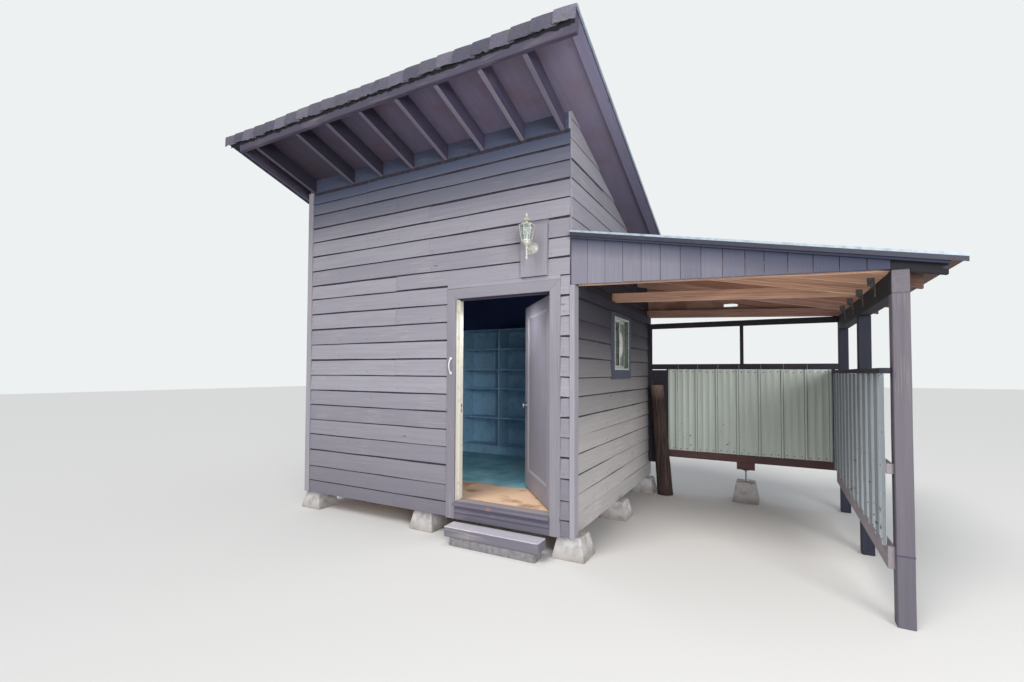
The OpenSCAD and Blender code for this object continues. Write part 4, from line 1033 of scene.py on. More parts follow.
leaf = [plank((leaf_left, leaf_front, leaf_foot), (leaf_left + stile, leaf_back, leaf_head)),
        plank((leaf_right - stile, leaf_front, leaf_foot), (leaf_right, leaf_back, leaf_head)),
        plank((leaf_left + stile, leaf_front, leaf_head - stile),
              (leaf_right - stile, leaf_back, leaf_head)),
        plank((leaf_left + stile, leaf_front, leaf_foot),
              (leaf_right - stile, leaf_back, leaf_foot + bottom_rail)),
        plank((leaf_left + stile - 0.01, leaf_front + 0.010, leaf_foot + bottom_rail - 0.01),
              (leaf_right - stile + 0.01, leaf_back - 0.010, leaf_head - stile + 0.01))]


def moulding(x0, x1, z0, z1, face, way):
    """An ovolo moulding mitred round the panel, swept as one closed frame."""
    profile = [(0.0, 0.0), (0.004, 0.0), (0.006, 0.0015), (0.011, 0.003), (0.015, 0.0065), (0.017, 0.0075),
               (0.021, 0.0075), (0.022, 0.010), (0.0, 0.010)]
    frame_mesh = bmesh.new()
    rings = []
    for cx, cz, sx, sz in ((x0, z0, 1, 1), (x1, z0, -1, 1), (x1, z1, -1, -1), (x0, z1, 1, -1)):
        rings.append([frame_mesh.verts.new((cx + sx * a, face + way * b, cz + sz * a)) for a, b in profile])
    skin_between(frame_mesh, rings + rings[:1], closed=True)
    outward(frame_mesh)
    return worked(frame_mesh)


panel = (leaf_left + stile, leaf_right - stile, leaf_foot + bottom_rail, leaf_head - stile)
leaf += [in_slot(moulding(*panel, leaf_front, 1), 1), in_slot(moulding(*panel, leaf_back, -1), 1)]
join("door_leaf_panelled", hang(leaf), [door_stain, mauve_trim], body="door",
     replaces=["door_leaf"])

# Door knobs
# Turned steel knobs on round roses, chromed: bright, with a bluish grey bloom where the plating has clouded.
clouded_chrome = blotched("clouded_chrome_plate", "#d7dde2", "#9aa4ac", 0.02, 0.22, 0.55, metal=1.0)


def turned(profile, centre, way=(0, 0, 1), sides=40):
    """A lathe-turned form: profile gives radius and height from its foot."""
    form = bmesh.new()
    rings = []
    for radius, height in profile:
        if radius < 1e-5:
            rings.append([form.verts.new((0, 0, height))])
            continue
        rings.append([form.verts.new((radius * math.cos(2 * math.pi * k / sides),
                                      radius * math.sin(2 * math.pi * k / sides), height))
                      for k in range(sides)])
    for one, two in zip(rings, rings[1:]):
        for k in range(sides):
            n = (k + 1) % sides
            corners = [one[k % len(one)], one[n % len(one)], two[n % len(two)], two[k % len(two)]]
            form.faces.new(list(dict.fromkeys(corners)))
    if len(rings[0]) > 1:
        form.faces.new(list(reversed(rings[0])))
    if len(rings[-1]) > 1:
        form.faces.new(rings[-1])
    outward(form)
    stand(form, centre, way)
    return worked(form, way)


knob_profile = [(0.0, 0.0), (0.030, 0.0), (0.030, 0.0018), (0.0285, 0.004), (0.024, 0.0052),
                (0.013, 0.0068), (0.010, 0.009), (0.0088, 0.012), (0.0088, 0.018), (0.011, 0.0205),
                (0.016, 0.0235), (0.022, 0.027), (0.0258, 0.031), (0.027, 0.0355), (0.0262, 0.0405),
                (0.0232, 0.0448), (0.018, 0.0478), (0.010, 0.0494), (0.0, 0.05)]
knobs = [turned(knob_profile, (knob_x, leaf_front, knob_z), (0, -1, 0)),
         turned(knob_profile, (knob_x, leaf_back, knob_z), (0, 1, 0))]
for s in (-1, 1):
    knobs.append(screw_head((knob_x + s * 0.021, leaf_front - 0.0035, knob_z), (0, -1, 0), 0.0025))
knobs.append(plank((leaf_left - 0.0002, 0.077, knob_z - 0.028),
                   (leaf_left + 0.0012, 0.099, knob_z + 0.028), arris=0.0003))
knobs.append(plank((leaf_left - 0.004, 0.0785, knob_z - 0.008),
                   (leaf_left + 0.002, 0.0875, knob_z + 0.008), arris=0.001))
join("door_knobs_turned", hang(knobs), clouded_chrome, body="door",
     replaces=["door_knobs"], smooth=True)

# Hinges
# Three loose-pin butt hinges: steel leaves screwed to the jamb and the door, five knuckles and a tipped pin.
hinge_jamb = []
hinge_leaf = []
hinge_tall, knuckle_tall = 0.09, 0.018
for foot in (0.515, 1.196, 1.877):
    for k in range(5):
        knuckle = turned([(0.0068, 0.0), (0.007, 0.0006), (0.007, 0.0172), (0.0068, 0.0178)],
                         (hinge_axis.x, hinge_axis.y, foot + k * knuckle_tall), sides=24)
        (hinge_leaf if k % 2 else hinge_jamb).append(knuckle)
    for height, tip in ((0.0, [(0.004, -0.004), (0.0055, -0.003), (0.0055, 0.0), (0.003, 0.0)]),
                        (hinge_tall, [(0.003, 0.0), (0.0062, 0.0), (0.0062, 0.002), (0.004, 0.004),
                                      (0.0, 0.0045)])):
        hinge_jamb.append(turned(tip, (hinge_axis.x, hinge_axis.y, foot + height), sides=24))
    for half, x0, x1, y0, y1, screw_x in ((hinge_jamb, hinge_axis.x, -0.157, 0.1101, 0.1125, -0.165),
                                          (hinge_leaf, -0.214, hinge_axis.x, 0.108, 0.1101, -0.200)):
        half.append(plank((x0, y0, foot), (x1, y1, foot + hinge_tall), arris=0.0005))
        half += [screw_head((screw_x, y1, foot + h), (0, 1, 0)) for h in (0.015, 0.045, 0.075)]
join("hinge_halves_on_jamb", hinge_jamb, dull_steel, replaces=["door_hinges"],
     smooth=True)
join("hinge_halves_on_door", hang(hinge_leaf), dull_steel, body="door", smooth=True)

# Window
# A small sliding window in a pale painted aluminium frame: a fixed sash outside and a sliding one behind
# it, with a glazing bead round each pane and a catch between them. Dust lies on the panes; the sliding one
# also carries a painted reflection.
window_paint = blotched("pale_painted_aluminium", "#bcc6be", "#8c978f", 0.03, 0.38, edge=(0.4, 0.8))
window_recess_shade = blotched("window_channels_painted_shade", "#5d665f", "#444b47", 0.03, 0.55)


def frame_ring(x0, x1, y0, y1, z0, z1, bar, arris=0.0015):
    """Four mitred bars of a sash or frame, flat in the wall's plane."""
    inner0, inner1, foot, head = y0 + bar, y1 - bar, z0 + bar, z1 - bar
    outlines = [[(y0, z0), (y1, z0), (inner1, foot), (inner0, foot)],
                [(inner0, head), (inner1, head), (y1, z1), (y0, z1)],
                [(y0, z0), (inner0, foot), (inner0, head), (y0, z1)],
                [(inner1, foot), (y1, z0), (y1, z1), (inner1, head)]]
    return [cut(o, "x", x0, x1, (0, 1, 0), arris=arris) for o in outlines]


win_mid = (win_y0 + win_y1) / 2
sash_bars = frame_ring(-0.080, 0.026, win_y0, win_y1, win_z0, win_z1, 0.016)
for x0, x1, y0, y1, inset, bar, arris in (
        (-0.022, -0.002, win_y0 + 0.016, win_mid + 0.013, 0.016, 0.026, 0.0015),
        (-0.044, -0.022, win_mid - 0.013, win_y1 - 0.016, 0.016, 0.026, 0.0015),
        (-0.0095, -0.0015, win_y0 + 0.040, win_mid - 0.011, 0.040, 0.006, 0.001),
        (-0.030, -0.021, win_mid + 0.011, win_y1 - 0.040, 0.040, 0.006, 0.001)):
    sash_bars += frame_ring(x0, x1, y0, y1, win_z0 + inset, win_z1 - inset, bar, arris)
sash_bars.append(plank((-0.0015, win_mid - 0.006, 1.76), (0.006, win_mid + 0.006, 1.82), arris=0.002))
# Deep faces of the frame that face along the wall take a dark copy of the paint: painted shade in the
# recesses
for bar in sash_bars:
    finish_where(bar, 1, lambda way, middle: middle.x < -0.004 and abs(way.y) > 0.6)
join("window_sashes", sash_bars, [window_paint, window_recess_shade],
     replaces=["window_frame"])


def pane_glass(name, film_low, film_high, film_tint, marks, bend):
    """Clear glass under a patchy film of dust; bend is its refractive index."""
    finish = new_finish(name)
    place = add(finish, "TexCoord").outputs["Object"]
    film = pattern(finish, place, 0.08, Detail=4.0)
    share = add(finish, "MapRange", {"Value": film, "From Min": 0.3, "From Max": 0.8, "To Min": film_low,
                                     "To Max": film_high})
    clear = add(finish, "BsdfPrincipled", {"Base Color": "#f2f7f5", "Roughness": 0.04,
                                           "Transmission Weight": 1.0, "IOR": bend})
    dusted = add(finish, "MixRGB", {"Fac": film, "Color1": film_tint, "Color2": "#7d8883"})
    coat = add(finish, "BsdfPrincipled", {"Base Color": shade_over(finish, place, dusted, marks),
                                          "Roughness": 0.4})
    add(finish, "OutputMaterial", {"Surface": add(finish, "MixShader", {0: share, 1: clear, 2: coat})})
    return finish


clean_glass = pane_glass("clean_window_glass", 0.03, 0.18, "#3c434c", (), 1.06)
# The sliding pane's grey-green film stands for dust and a painted reflection of the surroundings, with a
# bright painted reflection near its middle
dust_and_reflection_glass = pane_glass("window_glass_dust_and_painted_reflection", 0.75, 0.95, "#93a098",
                         [("#f6f9f7", 0.95, (-0.033, 1.50, 1.79), 0.15, 0.13)], 1.25)
panes = [plank((-0.014, win_y0 + 0.042, win_z0 + 0.042), (-0.010, win_mid - 0.013, win_z1 - 0.042),
               arris=0.0005),
         in_slot(plank((-0.035, win_mid + 0.013, win_z0 + 0.042), (-0.031, win_y1 - 0.042, win_z1 - 0.042),
                       arris=0.0005), 1)]
join("window_panes", panes, [clean_glass, dust_and_reflection_glass], replaces=["window_glass"])

# Lantern
# A brass wall lantern on a board: a round wall plate, a curved arm with a scroll, a turned stem, a cup, six
# bars round bevelled panes, small finials, a roof and a spire. The lacquer has gone, and the brass is pale,
# chalky and dull in patches.
weathered_brass = blotched("weathered_lantern_brass", "#d9d8d1", "#a6a296", 0.018, 0.42, 0.65, metal=0.3,
                           detail=6.0)
backboard = plank((lantern_left, -0.036, lantern_low), (lantern_right, 0.0, lantern_high), along=(0, 0, 1),
                  arris=0.004, bits=0.06, wander=0.001)
# The board's underside takes the window casing's dark finish: painted shade
finish_where(backboard, 1, lambda way, middle: way.z < -0.6)
join("lantern_backboard", [backboard], [casing_stain, window_case_shade],
     replaces=["lantern_board"])

lamp_x, lamp_y, lamp_z = -0.317, -0.156, 2.396
pane_z, pane_tall = 2.554, 0.118
brasswork = [turned([(0.0, 0.0), (0.046, 0.0), (0.047, 0.002), (0.0455, 0.0045), (0.038, 0.006),
                     (0.036, 0.009), (0.028, 0.012), (0.014, 0.0145), (0.0, 0.016)],
                    (lamp_x, -0.036, lamp_z + 0.122), (0, -1, 0))]
arm_radius = (0.120 ** 2 + 0.077 ** 2) / (2 * 0.077)
arm_turn = math.asin(0.112 / arm_radius)
arm_path = []
for i in range(25):
    turn = arm_turn * i / 24
    arm_path.append((lamp_x, lamp_y + arm_radius * math.sin(turn),
                     lamp_z + 0.045 + arm_radius * (1 - math.cos(turn))))
brasswork.append(swept_tube(arm_path, [0.0055 + 0.0022 * (i / 24) ** 2 for i in range(25)], sides=14))
scroll = []
for i in range(29):
    turn = 4.4 * i / 28 + 2.2
    size = 0.024 * (1 - 0.72 * i / 28)
    scroll.append((lamp_x, lamp_y + 0.062 + size * math.cos(turn), lamp_z + 0.072 + size * math.sin(turn)))
brasswork.append(swept_tube(scroll, 0.0028, sides=10))
stem = [(0.0, 0.0), (0.006, 0.0005), (0.010, 0.003), (0.014, 0.007), (0.0152, 0.011), (0.0135, 0.015),
        (0.009, 0.018), (0.0075, 0.022), (0.0105, 0.026), (0.0105, 0.029), (0.007, 0.033), (0.0078, 0.055),
        (0.0072, 0.082), (0.008, 0.094), (0.0115, 0.098), (0.0115, 0.102), (0.008, 0.106), (0.010, 0.112),
        (0.017, 0.119), (0.026, 0.127), (0.033, 0.133), (0.0345, 0.137), (0.034, 0.142), (0.038, 0.144),
        (0.0415, 0.147), (0.0418, 0.151), (0.0405, 0.155), (0.0395, 0.158), (0.0, 0.158)]
brasswork.append(turned(stem, (lamp_x, lamp_y, lamp_z)))
roof = [(0.058, 0.0), (0.0615, 0.001), (0.0625, 0.004), (0.061, 0.0065), (0.052, 0.0125), (0.039, 0.0165),
        (0.029, 0.0225), (0.017, 0.0265), (0.0125, 0.0285), (0.011, 0.033), (0.0125, 0.037),
        (0.034, 0.0455), (0.0355, 0.048), (0.031, 0.054), (0.019, 0.0625), (0.0095, 0.0675),
        (0.0062, 0.074), (0.0095, 0.082), (0.0103, 0.087), (0.0085, 0.092), (0.0045, 0.098),
        (0.0055, 0.101), (0.0025, 0.107), (0.0, 0.1125)]
brasswork.append(turned(roof, (lamp_x, lamp_y, pane_z + pane_tall)))


def round_way(turn):
    """The direction at an angle round the vertical."""
    return Vector((math.cos(turn), math.sin(turn), 0))


def cage(level, turn, radius):
    """A place on the six-sided cage, from the panes' foot."""
    return Vector((lamp_x, lamp_y, pane_z + level)) + round_way(turn) * radius


finial = [(0.0, 0.0), (0.0035, 0.001), (0.0045, 0.004), (0.003, 0.0075), (0.0015, 0.009), (0.0022, 0.011),
          (0.0, 0.0135)]
sixth = math.radians(60)
corner_turns = [math.radians(60 * k + 30) for k in range(6)]
for turn in corner_turns:
    low = cage(-0.001, turn, 0.0405)
    high = cage(pane_tall + 0.002, turn, 0.0595)
    bulge = [round_way(turn) * 0.0012 * math.sin(math.pi * j / 8) for j in range(9)]
    brasswork.append(swept_tube([low.lerp(high, j / 8) + bulge[j] for j in range(9)], 0.0027, sides=8))
    brasswork.append(turned(finial, cage(pane_tall + 0.004, turn, 0.0605), sides=12))
    for level, radius, rise in ((0.0, 0.0405, 0.0), (pane_tall - 0.001, 0.0593, 0.004)):
        a, b = cage(level, turn, radius), cage(level, turn + sixth, radius)
        arch = [a.lerp(b, j / 8) + Vector((0, 0, rise * math.sin(math.pi * j / 8))) for j in range(9)]
        brasswork.append(swept_tube(arch, 0.0024, sides=8))
join("lantern_brasswork", brasswork, weathered_brass, replaces=["lantern"],
     smooth=True)

# Lantern panes and lamp: bevelled clear glass in the cage, a white candle sleeve and a frosted bulb inside
bevelled_glass = pane_glass("bevelled_lantern_glass", 0.10, 0.40, "#dfe8ea", (), 1.08)
glazing = []
for turn in corner_turns:
    pane = bmesh.new()
    corners = [pane.verts.new(cage(level, angle, radius))
               for radius, level in ((0.0375, 0.002), (0.0555, pane_tall - 0.002))
               for angle in (turn, turn + sixth)]
    face = pane.faces.new((corners[0], corners[1], corners[3], corners[2]))
    outward(pane)
    bmesh.ops.inset_region(pane, faces=[face], thickness=0.006, depth=0.0)
    bmesh.ops.solidify(pane, geom=list(pane.faces), thickness=0.002)
    glazing.append(worked(pane))
join("lantern_panes", glazing, bevelled_glass, replaces=["lantern_glass"])
lamp_white = blotched("white_candle_sleeve_and_bulb", "#f1f0ea", "#dedccf", 0.04, 0.35)
bulb = turned([(0.0, 0.0), (0.0135, 0.0), (0.0135, 0.038), (0.011, 0.040), (0.0125, 0.045),
               (0.0195, 0.056), (0.0215, 0.066), (0.020, 0.077), (0.015, 0.088), (0.009, 0.098),
               (0.004, 0.105), (0.0, 0.107)], (lamp_x, lamp_y, pane_z - 0.001), sides=28)
join("lantern_candle_and_bulb", [bulb], lamp_white, smooth=True)

# Shelves
# A painted shelf unit of thin boards on the floor against the back wall, two bays wide, with a thin back.
# The paint is a cold white that is duller in patches, drawn a darker light blue: painted shade from the room.
shelf_white_and_shade = blotched("white_shelf_boards_painted_shade", "#9cc6df", "#80a9c0", 0.07, 0.45, edge=(0.5, 0.8),
                       detail=7.0)
shelf_x0, shelf_y0, shelf_back, shelf_rear, shelf_head = -2.660, 2.338, 2.632, 2.638, floor_top + 1.790
shelf_thick, shelf_bay, shelf_clear = 0.019, 0.619, 0.600
shelving = [plank((shelf_x0, shelf_back, floor_top), (-1.403, shelf_rear, shelf_head), arris=0.001)]
for x in [shelf_x0 + i * shelf_bay for i in range(3)]:
    shelving.append(plank((x, shelf_y0, floor_top), (x + shelf_thick, shelf_back, shelf_head),
                          arris=0.0015))
for x in [shelf_x0 + shelf_thick + i * shelf_bay for i in range(2)]:
    for z in [floor_top + level for level in (0.100, 0.505, 0.925, 1.195, 1.490, 1.771)]:
        shelving.append(plank((x, shelf_y0 + 0.001, z), (x + shelf_clear, shelf_back, z + shelf_thick),
                              arris=0.0015, bits=0.15, wander=0.0008))
    shelving.append(plank((x, shelf_y0 + 0.012, floor_top),
                          (x + shelf_clear, shelf_y0 + 0.030, floor_top + 0.100), arris=0.0015))
join("shelf_unit_boards", shelving, shelf_white_and_shade, replaces=["shelf_unit"])

# Boat shelter frame
# Three square posts carry one timber beam. Three ties and six rafters, notched over the beam, run out to it
# from the shed's wall. Posts and ledger are stained like the siding, but the inner posts and the ledger are
# drawn near-black, a painted shade; so is the beam but for its paler end. The front rafter is stained nearly
# black; the other rafters and the ties are bare fir.
post_stain = stained_wood("mauve_stained_posts", "#625d65", "#827779", "#4e4a53", 0.6,
                          marks=[("#4c4a58", 0.25, (0, 0, -1), -0.425, -0.405)])
# Inner posts and ledger: a near-black copy of the post stain, painted shade
shaded_post = stained_wood("inner_posts_painted_shade", "#242637", "#3d3c4c", "#1a1b27", 0.5)
beam_foot, post_rear = 1.970, 2.650
posts = [plank((post_in, y, 0.0), (post_out, y + post_wide, beam_foot), arris=0.004, bits=0.3,
               wander=0.0015) for y in (0.0, 1.290, post_rear)]
join("shelter_front_post", posts[:1], post_stain, replaces=["lean_posts"])
join("shelter_inner_posts", posts[1:], shaded_post)
post_foot_band = plank((2.0492, -0.0008, 0.412), (2.1398, 0.0898, 0.424), along=(1, 0, 0), arris=0.001)
join("post_foot_band", [post_foot_band], dusky_stain)
# Near-black: painted shade on the beam, a dark stain on the front rafter
beam_black_and_shade = stained_wood("near_black_stain_and_painted_shade", "#060815", "#191a2a", "#04050d", 0.4)
beam = plank((post_in, 0.0, beam_foot), (post_out, post_rear + post_wide, beam_top), arris=0.004, bits=0.3,
             wander=0.0012)
# The beam's end takes the paler post stain; its other faces keep the painted shade
beam["slots"] = [1 if all(beam["points"][i].y < 0.008 for i in face) else 0 for face in beam["faces"]]
join("shelter_beam", [beam], [beam_black_and_shade, post_stain], replaces=["lean_beam"])

tie_foot = lambda x: 2.190 - 0.08 * x / post_in
lean_seat = raised(lean_top, -0.0003)
rafter_end = 2.314
notched = [(lean_wall, lean_foot(lean_wall)), (post_in, beam_top), (post_out, beam_top),
           (post_out, lean_foot(post_out)), (rafter_end, lean_foot(rafter_end)),
           (rafter_end, lean_seat(rafter_end)), (lean_wall, lean_seat(lean_wall))]
bay_places = [i * 0.5224 for i in range(6)]
bay_rafters = [cut(notched, "y", y, y + two_by, (1, 0, -lean_slope), arris=0.002, bits=0.4, wander=0.0015)
               for y in bay_places]
join("shelter_rafters_notched", bay_rafters[1:], sawn_fir, replaces=["lean_rafters"])
join("shelter_front_rafter", bay_rafters[:1], beam_black_and_shade)
ledger = plank((lean_wall, 0.072, case_z1), (lean_wall + two_by, post_rear, 2.189), bits=0.4)
join("wall_ledger", [ledger], shaded_post)

ties = []
for y, start in ((0.038, lean_wall + two_by), (1.0828, lean_wall), (2.574, lean_wall)):
    outline = [(start, tie_foot(start)), (post_in, beam_top), (post_out, beam_top),
               (post_out, lean_seat(post_out)), (2.030, beam_top + post_wide),
               (start, tie_foot(start) + post_wide)]
    ties.append(cut(outline, "y", y, y + two_by, (1, 0, -0.04), arris=0.002, bits=0.35, wander=0.002))
join("shelter_ties", ties, sawn_fir, replaces=["lean_ties"])

# Straps, galvanised and gone dark
dark_zinc = blotched("darkened_galvanised_strap", "#55555b", "#7f7f82", 0.012, 0.6, metal=0.5, detail=3.0)
strap_face = 2.0475
straps = []
for y in bay_places[1:5]:
    straps += [plank((strap_face, y - 0.042, 2.015), (post_in, y, 2.100), arris=0.0006),
               plank((2.005, y - 0.0025, 2.100), (post_in, y, 2.155), arris=0.0006),
               cut([(2.015, 2.100), (strap_face, 2.100), (strap_face, 2.070)], "y", y - 0.0025, y,
                   (0, 0, 1), arris=0.0)]
    nails = [((strap_face, y + dy, z), (-1, 0, 0)) for dy, z in (
        (-0.012, 2.03), (-0.030, 2.04), (-0.012, 2.06), (-0.030, 2.075), (-0.021, 2.090))]
    nails += [((x, y - 0.0025, z), (0, -1, 0)) for x, z in ((2.018, 2.115), (2.034, 2.126), (2.020, 2.142))]
    straps += [round_bar(spot, way, 0.0045, 0.0025, sides=10, arris=0.0) for spot, way in nails]
join("beam_straps_bent", straps, dark_zinc, replaces=["beam_brackets"])

# Shelter roof
# Plywood sheets laid down the slope on the rafters, bare underneath with water stains, shingled on top.
bay_ply = new_finish("bare_plywood_deck")
grain, place = readings(bay_ply)[::3]
veneer = pattern(bay_ply, grain, (0.6, 0.05, 0.05), Detail=5.0, Distortion=1.8)
water = pattern(bay_ply, place, 0.3, Detail=5.0)
sheet = add(bay_ply, "MixRGB", {"Fac": veneer, "Color1": "#e8c4ab", "Color2": "#bf9784"})
sheet = tinted(bay_ply, sheet, water, 0.5, 0.62, "#7c5c5a", 0.65)
# Painted shade: darker towards the back. Past the beam's outer side it turns dark red-brown.
sheet = shade_over(bay_ply, place, sheet,
                   [("#7a5650", 0.5, (0, 1, 0), 0.4, 2.5), ("#3b1a18", 0.88, (1, 0, 0), 2.11, 2.15)])
dress(bay_ply, sheet, 0.75)
bay_deck_thick = 0.015
bay_base = raised(lean_top, bay_deck_thick / math.cos(lean_turn))
bay_front, bay_rear = -0.049, 2.700
bay_sheets = []
for y0, y1 in ((bay_front, 1.100), (1.103, 2.320), (2.323, bay_rear)):
    bay_sheets.append(cut(band(lean_wall, lean_edge, lean_top, bay_base), "y", y0, y1, (1, 0, -lean_slope),
                          arris=0.001))
join("shelter_deck_sheets", bay_sheets, bay_ply, replaces=["lean_deck"])
bay_felt = cut(band(lean_wall, lean_edge, bay_base, raised(bay_base, felt_thick)), "y", bay_front, bay_rear,
               (1, 0, 0), arris=0.0)
bay_tabs = shingle_roof(bay_front, bay_rear, 0.014, 2.387, bay_base, "y", (1, 0, 0))
join("shelter_shingles", [bay_felt] + bay_tabs, asphalt_shingle, replaces=["lean_roofing"])

# Shelter fascia
# Boards stood upright on the front rafter and tie, two of them ripped narrower, under a sloping trim strip.
upright = []
board_wide = 0.139
board_edges = [lean_wall + board_wide * i for i in range(10)] + [1.378, 1.514]
board_edges += [1.653 + board_wide * i for i in range(3)] + [2.045]
for x0, x1 in zip(board_edges, board_edges[1:]):
    foot = raised(tie_foot, chance.uniform(0.0, 0.003))
    out = -0.019 + chance.uniform(0.0, 0.0012)
    upright.append(cut(band(x0 + 0.0013, x1 - 0.0013, foot, lean_seat), "y", out, 0.0, (0, 0, 1),
                       arris=0.0015))
trim_line = band(lean_wall, rafter_end, raised(lean_seat, -0.034), lean_seat)
upright.append(cut(trim_line, "y", -0.037, -0.019, (1, 0, -lean_slope), arris=0.0015, bits=0.5))
# Painted shade: the boards darken under the trim strip and towards the right
board_stain = stained_wood("shelter_fascia_stain", "#85838f", "#9a9398", "#6f6d7a", 0.5,
                           marks=[("#2b3147", 0.88, (0.1944, 0, 1), 2.42, 2.565),
                                  ("#232840", 0.8, (1, 0, 0), 0.2, 1.9)])
join("shelter_fascia_boards", upright, board_stain, replaces=["lean_fascia"])

# Rear gable panel
# Thin board that closes the triangle over the rear tie, with a slot left open in it.
low_line_right, low_line_left = 2.180, 2.279
low_line = lambda x: (low_line_right
                      + (low_line_left - low_line_right) * (post_out - x) / (post_out - lean_wall))
slot_left, slot_right, slot_foot, slot_head = 0.910, 1.060, 2.278, 2.312
gable_parts = [[(lean_wall, tie_foot(lean_wall)), (post_in, beam_top), (post_out, beam_top),
                (post_out, lean_foot(post_out) + 0.006), (post_out, low_line_right),
                (lean_wall, low_line_left)],
               band(lean_wall, slot_left, low_line, lean_seat),
               band(slot_right, post_out, low_line, lean_seat),
               band(slot_left, slot_right, slot_head, lean_seat),
               band(slot_left, slot_right, low_line, slot_foot)]
panel_parts = [cut(outline, "y", post_rear, post_rear + 0.012, (1, 0, 0), arris=0.001)
               for outline in gable_parts]
join("rear_gable_boards", panel_parts, bay_ply, replaces=["rear_gable_panel"])

# Back wall frame
# Near-black rails and studs from the shed's corner to the rear post, with a closing board behind the log.
# The bottom rail has lost its stain and shows red-brown; a block is nailed under it over the prop.
back_y0, back_y1 = post_rear, 2.688
dark_frame = stained_wood("near_black_back_frame", "#2c2833", "#4b4047", "#1f1b26", 0.4)
sheet_foot, sheet_head = 0.530, 1.530
middle_rail_top, head_rail_foot = 1.596, 2.045
rails = [plank((lean_wall, back_y0, head_rail_foot), (post_in, back_y1, beam_top), bits=0.4, wander=0.001),
         plank((lean_wall, back_y0, sheet_head), (post_in, back_y1, middle_rail_top), bits=0.4,
               wander=0.001),
         plank((lean_wall, back_y0, sheet_foot), (0.059, back_y1, sheet_head)),
         plank((lean_wall, back_y0, middle_rail_top), (0.059, back_y1, head_rail_foot)),
         plank((1.080, back_y0, middle_rail_top), (1.118, back_y1, head_rail_foot)),
         plank((lean_wall, 2.631, 0.360), (0.254, back_y0, 1.522), bits=0.3, wander=0.001),
         plank((1.976, back_y0, sheet_foot), (2.014, 2.662, sheet_head)),
         plank((0.240, back_y0, sheet_foot), (0.276, 2.662, sheet_head))]
sheet_start, rib_gap = 1.985, 0.229
ticks = [in_slot(plank((sheet_start - rib_gap * k - 0.004, 2.6455, 1.532),
                       (sheet_start - rib_gap * k + 0.003, back_y0, 1.590), arris=0.0), 1)
         for k in range(1, 8)]
worn_ends = stained_wood("pale_rib_ends", "#7c8280", "#a0a49f", "#5f6463", 0.4)
join("back_frame_rails", rails + ticks, [dark_frame, worn_ends],
     replaces=["back_frame"])
red_rail = stained_wood("red_brown_bottom_rail", "#6a4a44", "#94664f", "#4a3436", 0.7)
low_rail = [plank((lean_wall, back_y0, 0.440), (post_in, back_y1, sheet_foot), bits=0.4, wander=0.0015),
            plank((1.035, back_y0, 0.358), (1.225, back_y1, 0.440))]
join("back_bottom_rail", low_rail, red_rail)

# Ribbed sheets
# Roll-formed steel sheets, painted a pale grey-green, screwed to the rails through the flats with capped
# screws. Rust starts at the cut feet and in blisters, and on the screw heads, worst at the right-hand end.


def ribbed_paint(name, paint, fade, rust_from):
    """Factory paint that fades in runs and rusts in blisters, worst at the foot; painted shade darkens the
    flanks.
    """
    finish = new_finish(name)
    flank, place = readings(finish)[2:]
    runs = pattern(finish, place, (0.05, 0.05, 0.5), Detail=5.0)
    blister = pattern(finish, place, 0.035, Detail=7.0)
    region = pattern(finish, place, 0.4, Detail=2.0)
    height = add(finish, "SeparateXYZ", {"Vector": place}).outputs["Z"]
    foot = add(finish, "MapRange", {"Value": height, "From Min": 0.5, "From Max": 1.3, "To Min": 0.10,
                                    "To Max": 0.0})
    eaten = add(finish, "Math", {0: blister, 1: foot}, operation="ADD")
    ripe = add(finish, "Math", {0: region, 1: 0.22, 2: eaten}, operation="MULTIPLY_ADD")
    rust = add(finish, "MapRange", {"Value": ripe, "From Min": rust_from, "From Max": rust_from + 0.03})
    surface = add(finish, "MixRGB", {"Fac": runs, "Color1": paint, "Color2": fade})
    surface = tinted(finish, surface, ripe, rust_from - 0.07, rust_from, "#9a8775", 0.35)
    surface = add(finish, "MixRGB", {"Fac": rust, "Color1": surface, "Color2": "#5d3f33"})
    surface = tinted(finish, surface, flank, 0.0, 1.0, "#4a5153", 0.75)
    return dress(finish, surface, add(finish, "MapRange", {"Value": rust, "To Min": 0.42, "To Max": 0.9}))


green_sheet = ribbed_paint("pale_green_painted_sheet", "#c3ccc4", "#aeb8b0", 0.90)
grey_sheet = ribbed_paint("pale_grey_painted_sheet", "#c0c8ce", "#a7b0b7", 0.845)


def rib_line(width):
    """Height of the sheet's face along its width: a main rib at each gap, eased, and two low ribs between."""
    high, low = 0.0185, 0.0045
    rib = [(0.0, 0.0), (0.003, 0.001), (0.009, high - 0.001), (0.011, high), (0.025, high),
           (0.027, high - 0.001), (0.033, 0.001), (0.036, 0.0)]
    for start in (0.086, 0.156):
        rib += [(start, 0.0), (start + 0.004, low * 0.5), (start + 0.008, low), (start + 0.018, low),
                (start + 0.022, low * 0.5), (start + 0.026, 0.0)]
    line = []
    x = 0.0
    while x < width:
        line += [(x + dx, h) for dx, h in rib if x + dx < width - 0.002]
        x += rib_gap
    return line + [(width, 0.0)]


